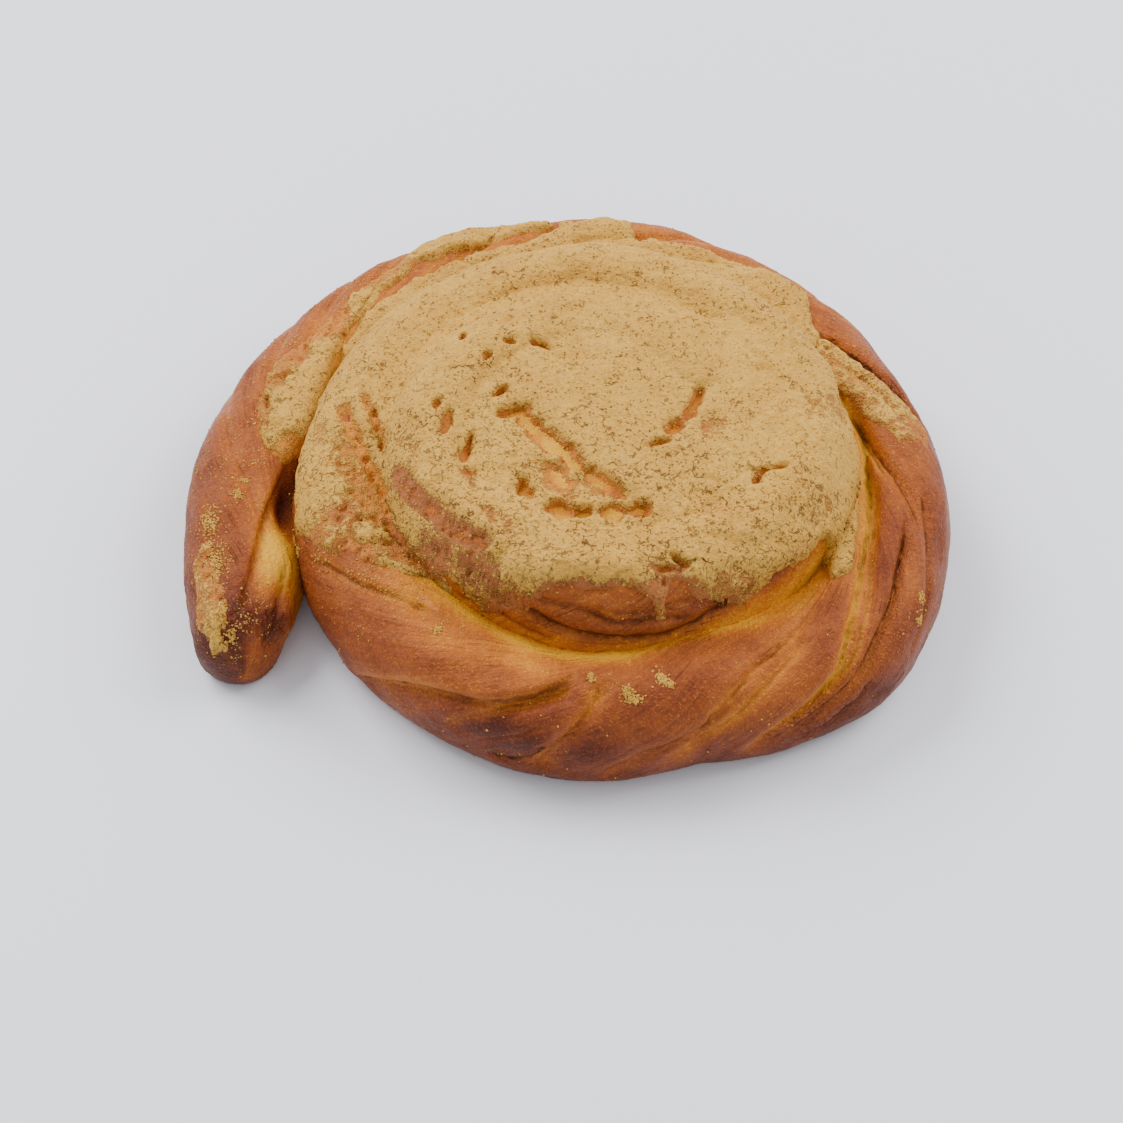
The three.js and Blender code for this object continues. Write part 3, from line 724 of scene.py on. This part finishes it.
def blanket(x, y):
    # the height of a cloth laid over the turns
    radius = np.hypot(x, y)
    first = ((rope["tailAngle"] - np.degrees(np.arctan2(y, x))) % 360) / 360
    rings, crests = [], []
    for turn in (first, first + 1, first + 2):
        exists = turn <= rope["turns"]
        middle, _, crest = station(np.minimum(turn, rope["turns"]))
        rings.append(np.where(exists, middle, 0))
        crests.append(np.where(exists, crest, paste["knobTop"]))
    rings.append(np.zeros(radius.shape))
    crests.append(np.full(radius.shape, paste["knobTop"]))
    height = np.where(radius >= rings[0], 0.0, paste["knobTop"])
    for far, near, crestFar, crestNear in zip(rings, rings[1:], crests, crests[1:]):
        span = np.maximum(far - near, 1e-6)
        share = np.clip((far - radius) / span, 0, 1)
        laid = mix(crestFar, crestNear, smooth(share, 0, 1)) - paste["sag"] * 4 * share * (1 - share)
        height = np.where((radius < far) & (radius >= near), laid, height)
    evened = paste["knobTop"] - paste["middleFall"] * (radius / paste["middleRadius"]) ** 2
    return mix(evened, height, smooth(radius, paste["middleRadius"] / 2, paste["middleRadius"]))


def doughTree(pieces):
    shape = bmesh.new()
    for piece in pieces:
        shape.from_mesh(piece.data)
    tree = BVHTree.FromBMesh(shape)
    shape.free()
    return tree


def bareDough(tree, x, y, wanted):
    # the dough's height under each wanted place, in mm, and which way it faces
    heights = np.zeros(x.shape)
    facing = np.tile([0.0, 0.0, 1.0], (x.size, 1))
    for i in np.flatnonzero(wanted):
        start = Vector(((x[i] + coilCentre[0]) * mm, (y[i] + coilCentre[1]) * mm, paste["castFrom"] * mm))
        hit, normal = tree.ray_cast(start, Vector((0, 0, -1)))[:2]
        if hit:
            heights[i] = hit.z / mm
            facing[i] = normal
    return heights, facing


def tornOpen(sheet, x, y):
    # mm from the nearest pit or gash, below zero inside it
    hole = np.full(x.shape, 9.0)
    for oval in sheet.get("pits", []):
        reach = ovalField(x, y, oval) - 1 + 0.6 * cloud(x / 1.5, y / 1.5, 3, 63, 2)
        hole = np.minimum(hole, reach * (min(oval[2], oval[3]) + 0.5))
    for line, wide in sheet.get("gashes", []):
        away, along = lineDistance(line, x, y, paste["lineReach"])
        torn = wide * (0.9 + 0.9 * cloud(x / 2.2, y / 2.2, 8, 71, 2)) * middleOf(along, 0.08)
        hole = np.minimum(hole, np.abs(away) - torn)
    return hole


def wornThin(sheet, x, y, hole):
    # how worn the paste is, and how brown the dough beneath it
    worn = 0.7 * (1 - smooth(hole, 0.1, 1.3))
    brown = np.full(x.shape, 0.3)
    shares = [(oval[5] * (1 - smooth(ovalField(x, y, oval), 0.3, 1.35)), oval[6])
              for oval in sheet["bald"]]
    for line, wide, amount, shade in sheet.get("streaks", []):
        away, along = lineDistance(line, x, y, paste["lineReach"])
        shown = middleOf(along, 0.12) * (np.abs(away) < paste["lineReach"])
        shares.append((amount * shown * (1 - smooth(np.abs(away) / wide, 0.2, 1.6)), shade))
    for share, shade in shares:
        brown = np.where(share > worn, shade, brown)
        worn = np.maximum(worn, share)
    return worn, brown


def pasteRelief(sheet, x, y, rock, wear, level):
    lumpier = 1 + 0.7 * smooth(-y, 5, 35)  # the near side is lumpier
    clumps = 0.20 * rock(4.2, 67, 2) + 0.60 * np.abs(rock(3.0, 68, 1)) + 0.22 * np.abs(rock(1.5, 69, 1))
    flat = np.clip(spots(sheet.get("smooth", []), x, y), 0, 1)
    relief = 0.45 * cloud(x / 13, y / 13, 5, 66, 2) + lumpier * clumps * (1 - 0.85 * flat)
    relief *= (1 - 0.55 * wear) * level
    for line, deep, wide in sheet.get("grooves", []):
        away, along = lineDistance(line, x, y, paste["grooveReach"])
        shown = middleOf(along, 0.1) * (np.abs(away) < paste["grooveReach"])
        relief -= deep * shown * np.exp(-(away / wide) ** 2)
    return relief + spots(sheet.get("lumps", []), x, y)


def makePaste(name, tree):
    sheet = pasteSheets[name]
    edge = np.array(sheet["edge"])
    low, high = edge.min(axis=0) - paste["margin"], edge.max(axis=0) + paste["margin"]
    counts = np.ceil((high - low) / paste["spacing"]).astype(int)
    piece, u, v = gridPiece(name, int(counts[0]), int(counts[1]))
    jitter = 0.25 * paste["spacing"]
    x, y = mix(low[0], high[0], u), mix(low[1], high[1], v)
    x, y = x + jitter * latticeNoise(x * 3, y * 3, 1, 5), y + jitter * latticeNoise(x * 3, y * 3, 5, 6)
    inside = insideDistance(sheet["edge"], x, y)
    bare, facing = bareDough(tree, x, y, inside > -paste["castMargin"])
    level = np.clip(facing[:, 2], 0, 1) ** 1.5  # fine relief fades where the dough falls steeply

    def rock(size, seed, octaves):
        return cloud(x / size, y / size, bare / size, seed, octaves)

    inside += sheet["ragged"] * (1.1 * cloud(x / 4.5, y / 4.5, bare / 3.5, 61, 2)
                                 + 0.7 * level * rock(1.6, 62, 2))
    cling = smooth(inside, 0.5, paste["cling"])
    hole = tornOpen(sheet, x, y)
    worn, brown = wornThin(sheet, x, y, hole)
    wear = np.clip(worn, 0, 1)
    crumbly = 0.8 * rock(2.2, 64, 3) + 0.9 * level * cloud(x / 1.1, y / 1.1, bare, 65, 1)
    eaten = np.where(worn > 0.02, 1.8 * (crumbly + 1.45 - 1.1 * worn), 1e3)
    inside = np.minimum(np.minimum(inside, hole), eaten)
    cling = cling * (1 - 0.8 * wear)
    laid = mix(bare, np.maximum(blanket(x, y), bare), cling)
    lip = np.sqrt(1 - (1 - np.clip(inside / paste["lip"], 0, 1)) ** 2)
    thick = sheet["thick"] * (1 - 0.75 * wear) + pasteRelief(sheet, x, y, rock, wear, level)
    out = facing * (1 - cling)[:, None] + np.array([0, 0, 1.0]) * cling[:, None]
    out = out / np.linalg.norm(out, axis=1)[:, None]
    rise = (thick + paste["tuck"]) * lip - paste["tuck"]
    top, ceiling = laid + out[:, 2] * rise, paste["ceiling"]
    top = np.minimum(top, ceiling) + paste["pressed"] * np.maximum(top - ceiling, 0)
    placeVertices(piece, x + out[:, 0] * rise, y + out[:, 1] * rise, top)
    paintValue(piece, "thin", 0.25 * np.clip(1 - inside / 1.6, 0, 1) + 0.9 * wear)
    paintValue(piece, "brown", brown)
    paintValue(piece, "cracked", smooth(-y - 0.3 * x, -8, 22))
    keep = (inside > -paste["raggedMargin"]) & (bare > paste["lowest"])
    trimAndThicken(piece, keep, paste["underside"] * mm)
    print(name, len(piece.data.polygons), "faces")
    return piece


def trimAndThicken(piece, keep, depth):
    # drops the faces outside the outline and gives the rest an underside
    shape = bmesh.new()
    shape.from_mesh(piece.data)
    shape.verts.ensure_lookup_table()
    loose = [shape.verts[i] for i in np.flatnonzero(~keep)]
    bmesh.ops.delete(shape, geom=loose, context="VERTS")
    scraps = [vert for vert in shape.verts if not vert.link_faces]
    bmesh.ops.delete(shape, geom=scraps, context="VERTS")
    made = bmesh.ops.extrude_face_region(shape, geom=shape.faces[:], use_keep_orig=True)
    under = [part for part in made["geom"] if isinstance(part, bmesh.types.BMVert)]
    bmesh.ops.translate(shape, verts=under, vec=(0, 0, -depth))
    storeMesh(piece, shape)


# crumbs of paste and sugar

crumbs = {
    "onCrust": 4400,
    "onEdges": 3100,
    "size": (0.05, 0.28),  # mm, half across
    "heapSize": (0.1, 0.34),
    "stray": 0.45,  # mm from the paste's edge
    "tries": 150000,
    # the stretches of rope they lie on, in mm along, and how far round
    "outer": (0, 455),
    "inner": (610, 712),
    "outerShare": 0.8,
    "innerLikely": 0.2,
    "degrees": (-40, 165),
    "stretch": (0.55, 1.35),
    "batch": 80,
    # heaps: mm along the rope, degrees, half spans, how many crumbs
    "heaps": [(363, 89, 0.7, 3, 60), (356, 74, 0.8, 4, 110), (355, 67, 1.3, 2.5, 110),
              (349, 80, 0.9, 5, 150), (348, 73, 0.6, 3, 60), (18, 67, 0.9, 4, 50), (20, 60, 1.2, 4, 90),
              (24, 66, 5.0, 12, 420), (12, 68, 3.0, 10, 160), (36, 62, 3.0, 10, 160),
              (5, 84, 1.3, 5, 90), (30, 59, 1.2, 5, 110), (42, 88, 1.0, 4, 90), (46, 92, 0.6, 3, 40),
              (397, 85, 0.8, 4, 50), (436, 8, 1.2, 5, 110), (433, 14, 0.8, 3, 50),
              (296, 32, 0.8, 5, 50), (293, 42, 0.8, 4, 40)],
}


def scatterOnRope(chance):
    tries = crumbs["tries"]
    onOuter = chance.random(tries) < crumbs["outerShare"]
    length = np.where(onOuter, chance.uniform(*crumbs["outer"], tries),
                      chance.uniform(*crumbs["inner"], tries))
    degrees = chance.uniform(*crumbs["degrees"], tries)
    likely = np.clip(dustField(length, degrees), 0, 1) * np.where(onOuter, 1, crumbs["innerLikely"])
    picked = np.flatnonzero(chance.random(tries) < likely)[:crumbs["onCrust"]]
    lengths, turns = [length[picked]], [degrees[picked]]
    for along, turn, wide, tall, count in crumbs["heaps"]:
        lengths.append(along + chance.normal(0, wide * 0.6, count))
        turns.append(turn + chance.normal(0, tall * 0.6, count))
    length, degrees = np.concatenate(lengths), np.concatenate(turns)
    relief = ropeRelief(length, degrees)[0]
    small, large = crumbs["size"]
    halves = small + (large - small) * chance.random(length.size) ** 2.6
    halves[picked.size:] = chance.uniform(*crumbs["heapSize"], length.size - picked.size)
    return np.stack(ropeSurface(length, degrees, relief + 0.15 * halves), -1), halves


def scatterOnEdges(sheets, chance):
    places = []
    total = sum(len(sheet.data.vertices) for sheet in sheets)
    for sheet in sheets:
        spot = vertexPlaces(sheet)
        count = len(spot)
        thin = np.zeros(count)
        sheet.data.attributes["thin"].data.foreach_get("value", thin)
        weight = thin**2 + 0.01
        picked = chance.choice(count, crumbs["onEdges"] * count // total, p=weight / weight.sum())
        strayed = chance.normal(0, crumbs["stray"], (picked.size, 3)) * (1, 1, 0.3)
        places.append(spot[picked] / mm - (*coilCentre, 0) + strayed)
    places = np.concatenate(places)
    small, large = crumbs["size"]
    return places, small + (large - small) * chance.random(len(places)) ** 2


def makeCrumbs(sheets):
    chance = np.random.default_rng(12)
    onRope, ropeHalves = scatterOnRope(chance)
    onEdges, edgeHalves = scatterOnEdges(sheets, chance)
    places = (np.concatenate([onRope, onEdges]) + (*coilCentre, 0)) * mm
    halves = np.concatenate([ropeHalves, edgeHalves])
    shape = bmesh.new()
    step = crumbs["batch"]  # small batches keep each operator quick
    for first in range(0, len(places), step):
        batch = bmesh.new()
        for place, half in zip(places[first:first + step], halves[first:first + step]):
            turn = Matrix.Rotation(chance.uniform(0, 6.28), 4, Vector(chance.normal(size=3)).normalized())
            stretch = Matrix.Diagonal((*chance.uniform(*crumbs["stretch"], 3), 1))
            spot = Matrix.Translation(Vector(place))
            bmesh.ops.create_icosphere(batch, subdivisions=1, radius=half * mm,
                                       matrix=spot @ turn @ stretch)
        data = bpy.data.meshes.new("crumbBatch")
        batch.to_mesh(data)
        batch.free()
        shape.from_mesh(data)
        bpy.data.meshes.remove(data)
    for face in shape.faces:
        face.smooth = True
    piece = pieceFrom("crumbs", shape)
    for name, amount in (("thin", 0.0), ("brown", 0.3), ("cracked", -0.5)):
        paintValue(piece, name, np.full(len(piece.data.vertices), amount))
    print("crumbs", len(piece.data.polygons), "faces")
    return piece


# materials

def newMaterial(name):
    material = bpy.data.materials.new(name)
    material.use_nodes = True
    tree = material.node_tree
    tree.nodes.clear()
    output = tree.nodes.new("ShaderNodeOutputMaterial")
    surface = tree.nodes.new("ShaderNodeBsdfPrincipled")
    tree.links.new(surface.outputs["BSDF"], output.inputs["Surface"])
    return material, tree, surface


def plug(tree, node, inputs):
    # each input is a number, a colour or another node's output
    for key, value in inputs.items():
        if isinstance(value, bpy.types.NodeSocket):
            tree.links.new(value, node.inputs[key])
        else:
            node.inputs[key].default_value = value


def wire(tree, kind, inputs, **settings):
    node = tree.nodes.new("ShaderNode" + kind)
    for key, value in settings.items():
        setattr(node, key, value)
    plug(tree, node, inputs)
    return node


def math2(tree, operation, a, b=0.0, clamp=False):
    return wire(tree, "Math", {0: a, 1: b}, operation=operation, use_clamp=clamp).outputs[0]


def addUp(tree, *terms):
    # adds values, each times its weight
    total = math2(tree, "MULTIPLY", *terms[0])
    for value, weight in terms[1:]:
        total = math2(tree, "ADD", total, math2(tree, "MULTIPLY", value, weight))
    return total


def times(tree, first, *others):
    # multiplies values
    for other in others:
        first = math2(tree, "MULTIPLY", first, other)
    return first


def valueOf(tree, name):
    # what one of the mesh's attributes holds
    return wire(tree, "Attribute", {}, attribute_name=name).outputs["Fac"]


def noise(tree, place, scale, detail, output="Fac"):
    return wire(tree, "TexNoise", {"Vector": place, "Scale": scale, "Detail": detail}).outputs[output]


def between(tree, value, low, high, start=0.0, end=1.0):
    # low becomes start and high becomes end, with nothing beyond them
    return wire(tree, "MapRange", {0: value, 1: low, 2: high, 3: start, 4: end}).outputs[0]


def blend(tree, share, a, b):
    return wire(tree, "Mix", {0: share, 6: a, 7: b}, data_type="RGBA").outputs[2]


def ramp(tree, value, stops):
    node = tree.nodes.new("ShaderNodeValToRGB")
    tree.links.new(value, node.inputs[0])
    keys = node.color_ramp.elements
    while len(keys) < len(stops):
        keys.new(0.5)
    for key, (place, shade) in zip(keys, stops):
        key.position = place
        key.color = (*shade, 1)
    return node.outputs["Color"]


def srgb(red, green, blue):
    # a colour from its 0 to 255 screen values
    return tuple((c / 255 / 12.92) if c <= 10.31 else ((c / 255 + 0.055) / 1.055) ** 2.4
                 for c in (red, green, blue))


def newGroup(name, inputs, outputs):
    group = bpy.data.node_groups.new(name, "ShaderNodeTree")
    for label, kind, value in inputs:
        socket = group.interface.new_socket(label, in_out="INPUT", socket_type=kind)
        if value is not None:
            socket.default_value = value
    for label, kind in outputs:
        group.interface.new_socket(label, in_out="OUTPUT", socket_type=kind)
    return group, group.nodes.new("NodeGroupInput"), group.nodes.new("NodeGroupOutput")


def makeGrainGroup():
    # fine grains and pores, used by the crust and the paste
    group, given, result = newGroup("grainAndPores", [
        ("Place", "NodeSocketVector", None), ("Grain Size", "NodeSocketFloat", 0.6),
        ("Pore Size", "NodeSocketFloat", 1.0), ("Pore Share", "NodeSocketFloat", 0.3),
    ], [("Grain", "NodeSocketFloat"), ("Pores", "NodeSocketFloat")])
    place = given.outputs["Place"]
    grain = noise(group, place, math2(group, "DIVIDE", 1000.0, given.outputs["Grain Size"]), 2.0)
    poreScale = math2(group, "DIVIDE", 1000.0, given.outputs["Pore Size"])
    cells = wire(group, "TexVoronoi", {"Vector": place, "Scale": poreScale})
    some = wire(group, "SeparateColor", {0: cells.outputs["Color"]}).outputs[0]
    chosen = math2(group, "LESS_THAN", some, given.outputs["Pore Share"])
    dot = between(group, cells.outputs["Distance"], 0.12, 0.32, 1.0, 0.0)
    group.links.new(grain, result.inputs["Grain"])
    group.links.new(times(group, dot, chosen), result.inputs["Pores"])
    return group


def useGroup(tree, group, inputs):
    return wire(tree, "Group", inputs, node_tree=group)


crustLook = {
    "bakeColours": [
        (0.00, srgb(218, 159, 34)), (0.14, srgb(205, 134, 32)), (0.32, srgb(184, 105, 33)),
        (0.52, srgb(155, 81, 31)), (0.72, srgb(127, 61, 27)), (0.88, srgb(103, 45, 22)),
        (1.00, srgb(78, 33, 15)),
    ],
    # the dark colour of the cracks is painted shade in their slits
    "crackShade": srgb(58, 22, 8),
    "grain": srgb(224, 186, 128),
    "roughness": (0.38, 0.56),
}


def makeCrust(grainGroup):
    material, tree, surface = newMaterial("crust")
    place = wire(tree, "TexCoord", {}).outputs["Object"]
    skin = wire(tree, "UVMap", {}, uv_map="skinMap").outputs[0]
    stretched = wire(tree, "Mapping", {"Vector": skin, "Scale": (1.0, 0.11, 1.0)}).outputs[0]
    streak, broadStreak = noise(tree, stretched, 750.0, 3.0), noise(tree, stretched, 240.0, 2.0)
    blotch, mottle = noise(tree, place, 130.0, 4.0), noise(tree, place, 850.0, 4.0)
    fine = useGroup(tree, grainGroup, {"Place": place, "Grain Size": 0.5, "Pore Size": 0.8,
                                       "Pore Share": 0.45})
    grain = fine.outputs["Grain"]
    value = addUp(tree, (valueOf(tree, "bakeAndShade"), 1.0), (streak, 0.26), (broadStreak, 0.22),
                  (blotch, 0.3), (mottle, 0.34), (grain, 0.14))
    value = math2(tree, "SUBTRACT", value, 0.63, clamp=True)  # half of the noises' weights
    fleck = between(tree, noise(tree, place, 1900.0, 1.0), 0.54, 0.7)
    value = math2(tree, "SUBTRACT", value, times(tree, fleck, 0.2), clamp=True)
    colour = ramp(tree, value, crustLook["bakeColours"])
    # cracks wander about their lines and break off here and there; their dark slits are painted shade
    wander = math2(tree, "SUBTRACT", noise(tree, place, 420.0, 2.0), 0.5)
    crackShade = 0.0
    for family in "AB":
        near = addUp(tree, (valueOf(tree, "crackAway" + family), 1.0), (wander, 1.5))
        near = math2(tree, "ABSOLUTE", near)
        line = between(tree, near, 0.1, 0.62, 1.0, 0.0)
        crackShade = math2(tree, "MAXIMUM", times(tree, line, valueOf(tree, "crackDeep" + family)), crackShade)
    crackShade = times(tree, crackShade, between(tree, blotch, 0.34, 0.5, 0.25, 1.0))
    colour = blend(tree, crackShade, colour, (*crustLook["crackShade"], 1))
    torn = between(tree, noise(tree, stretched, 1500.0, 2.0), 0.6, 0.7)
    torn = times(tree, torn, between(tree, blotch, 0.5, 0.6))
    colour = blend(tree, times(tree, torn, 0.3), colour, (*crustLook["crackShade"], 1))
    grainy = times(tree, fine.outputs["Pores"], times(tree, valueOf(tree, "dust"), 0.9))
    colour = blend(tree, grainy, colour, (*crustLook["grain"], 1))
    gloss = between(tree, blotch, 0.3, 0.7, *crustLook["roughness"])
    gloss = math2(tree, "ADD", gloss, times(tree, grainy, 0.3), clamp=True)
    height = addUp(tree, (streak, 0.24), (grain, 0.22), (mottle, 0.4), (fleck, 0.12), (grainy, 0.35),
                   (crackShade, -0.6), (torn, -0.25))
    bump = wire(tree, "Bump", {"Height": height, "Strength": 0.9, "Distance": 0.001})
    plug(tree, surface, {"Base Color": colour, "Roughness": gloss, "Specular IOR Level": 0.17,
                         "Normal": bump.outputs[0]})
    return material


pasteLook = {
    "light": srgb(222, 176, 80),
    "main": srgb(200, 151, 58),
    "toasted": srgb(172, 116, 40),
    "beneath": [(0.0, srgb(208, 130, 38)), (0.5, srgb(184, 104, 44)), (1.0, srgb(158, 88, 48))],
    "pore": srgb(118, 66, 20),
}


def pasteShades(tree, value, low, high):
    middle = (low + high) / 2
    return ramp(tree, value, [(low, pasteLook["toasted"]), (middle, pasteLook["main"]),
                              (high, pasteLook["light"])])


def makePasteMaterial(grainGroup):
    material, tree, surface = newMaterial("tahiniPaste")
    place = wire(tree, "TexCoord", {}).outputs["Object"]
    thin, brown, cracked = [valueOf(tree, name) for name in ("thin", "brown", "cracked")]
    warp = noise(tree, place, 700.0, 1.0, "Color")
    shifted, bent = [wire(tree, "MixRGB", {0: reach, 1: place, 2: warp}, blend_type="ADD").outputs[0]
                     for reach in (0.0005, 0.0022)]
    fine = useGroup(tree, grainGroup, {"Place": shifted, "Grain Size": 0.45, "Pore Size": 0.9,
                                       "Pore Share": 0.30})
    big = useGroup(tree, grainGroup, {"Place": shifted, "Grain Size": 0.95, "Pore Size": 2.2,
                                      "Pore Share": 0.10})
    grain, bigGrain = fine.outputs["Grain"], big.outputs["Grain"]
    patchy, lumpy = noise(tree, place, 90.0, 5.0), noise(tree, place, 520.0, 4.0)
    gravel = noise(tree, place, 1250.0, 3.0)
    colour = pasteShades(tree, patchy, 0.3, 0.7)
    colour = blend(tree, 0.35, colour, pasteShades(tree, lumpy, 0.32, 0.68))
    colour = blend(tree, 0.4, colour, pasteShades(tree, bigGrain, 0.3, 0.7))
    colour = blend(tree, 0.25, colour, pasteShades(tree, grain, 0.3, 0.7))
    crumb = between(tree, cracked, -1.0, 0.0, 0.35, 0.0)
    colour = blend(tree, crumb, colour, (*pasteLook["light"], 1))
    # where the cover is thin the dough's colour shows between the crumbs
    cover = addUp(tree, (lumpy, 1.0), (bigGrain, 0.7), (grain, 1.1))
    bare = between(tree, math2(tree, "SUBTRACT", thin, cover), -1.0, -0.68, 0.0, 0.92)
    browner = addUp(tree, (brown, 1.0), (math2(tree, "SUBTRACT", patchy, 0.5), 0.9))
    beneath = ramp(tree, browner, pasteLook["beneath"])
    colour = blend(tree, bare, colour, beneath)
    # short cracks between clumps, specks and pores
    clumpEdge = wire(tree, "TexVoronoi", {"Vector": bent, "Scale": 420.0},
                     feature="DISTANCE_TO_EDGE").outputs["Distance"]
    gate = between(tree, addUp(tree, (noise(tree, place, 300.0, 3.0), 1.0), (cracked, 0.12)), 0.52, 0.62)
    gaps = times(tree, between(tree, clumpEdge, 0.015, 0.06, 1.0, 0.0),
                 between(tree, noise(tree, place, 700.0, 2.0), 0.5, 0.56), gate)
    specks = between(tree, addUp(tree, (gravel, 1.0), (gate, 0.04)), 0.66, 0.71, 0.0, 0.9)
    dark = math2(tree, "MAXIMUM", fine.outputs["Pores"], big.outputs["Pores"])
    dark = math2(tree, "MAXIMUM", math2(tree, "MAXIMUM", dark, gaps), specks)
    dark = times(tree, dark, between(tree, patchy, 0.4, 0.62, 1.0, 0.5),
                 math2(tree, "SUBTRACT", 1.0, bare), math2(tree, "SUBTRACT", 1.0, crumb))
    colour = blend(tree, times(tree, dark, 0.85), colour, (*pasteLook["pore"], 1))
    height = addUp(tree, (lumpy, 0.55), (grain, 0.35), (gravel, -0.5), (gaps, -0.5), (bigGrain, 0.35),
                   (dark, -0.5), (bare, -0.4))
    bump = wire(tree, "Bump", {"Height": height, "Strength": 1.0, "Distance": 0.0008})
    plug(tree, surface, {"Base Color": colour, "Roughness": 0.75, "Specular IOR Level": 0.3,
                         "Normal": bump.outputs[0], "Subsurface Weight": 0.05,
                         "Subsurface Radius": (1.0, 0.6, 0.3), "Subsurface Scale": 0.0015})
    return material


# floor, light and camera

view = {
    "stand": (-15.9, -318.2, 425.5),  # where the camera is, from the coil's centre, in mm
    "elevation": 54.2,
    "roll": 1.0,
    "focal": 2282.0,  # in pixels of the photograph
    "pixels": 1123.0,
}
stage = {"reach": 3, "floor": (0.88, 0.91, 1.0), "room": (0.985, 0.985, 0.985), "roomLight": 0.82}


def makeFloor():
    shape = bmesh.new()
    bmesh.ops.create_grid(shape, x_segments=1, y_segments=1, size=stage["reach"])
    floor = pieceFrom("floor", shape)
    material, tree, surface = newMaterial("floorPaint")
    plug(tree, surface, {"Base Color": (*stage["floor"], 1), "Roughness": 0.5})
    floor.data.materials.append(material)


def makeCamera():
    e, roll = math.radians(view["elevation"]), math.radians(view["roll"])
    right = Vector((1, 0, 0))
    forward = Vector((0, math.cos(e), -math.sin(e)))
    upward = right.cross(forward)
    imageRight = math.cos(roll) * right + math.sin(roll) * upward
    imageUp = -math.sin(roll) * right + math.cos(roll) * upward
    turn = Matrix((imageRight, imageUp, -forward)).transposed().to_4x4()
    data = bpy.data.cameras.new("camera")
    data.sensor_fit = "HORIZONTAL"
    data.angle = 2 * math.atan(view["pixels"] / 2 / view["focal"])
    camera = addObject("camera", data)
    place = Vector(view["stand"]) + Vector((*coilCentre, 0))
    camera.matrix_world = Matrix.Translation(place * mm) @ turn
    bpy.context.scene.camera = camera


lamps = [
    {"name": "windowLeft", "at": (-0.9, 0.7, 1.1), "size": 1.0, "power": 29, "tint": (1, 0.98, 0.95)},
    {"name": "windowRight", "at": (1.0, 0.5, 1.0), "size": 0.9, "power": 19, "tint": (1, 0.98, 0.96)},
]


def makeLamps():
    for lamp in lamps:
        data = bpy.data.lights.new(lamp["name"], "AREA")
        data.shape = "SQUARE"
        data.size = lamp["size"]
        data.energy = lamp["power"]
        data.color = lamp["tint"]
        light = addObject(lamp["name"], data)
        light.location = lamp["at"]
        light.rotation_euler = (-Vector(lamp["at"])).to_track_quat("-Z", "Y").to_euler()
    world = bpy.data.worlds.new("room")
    bpy.context.scene.world = world
    world.use_nodes = True
    back = world.node_tree.nodes["Background"]
    plug(world.node_tree, back, {"Color": (*stage["room"], 1), "Strength": stage["roomLight"]})


# making it all

grainGroup = makeGrainGroup()
crust = makeCrust(grainGroup)
tahini = makePasteMaterial(grainGroup)
doughRope = makeRope()
doughHeart = makeHeart()
attach(doughRope, crust, "crust", "dough_coil")
attach(doughHeart, crust, "crust")
dough = doughTree([doughRope, doughHeart])
sheets = []
for sheetName, sheet in pasteSheets.items():
    sheets.append(makePaste(sheetName, dough))
    attach(sheets[-1], tahini, "tahini", sheet["node"])
attach(makeCrumbs(sheets), tahini, "tahini")
makeFloor()
makeCamera()
makeLamps()
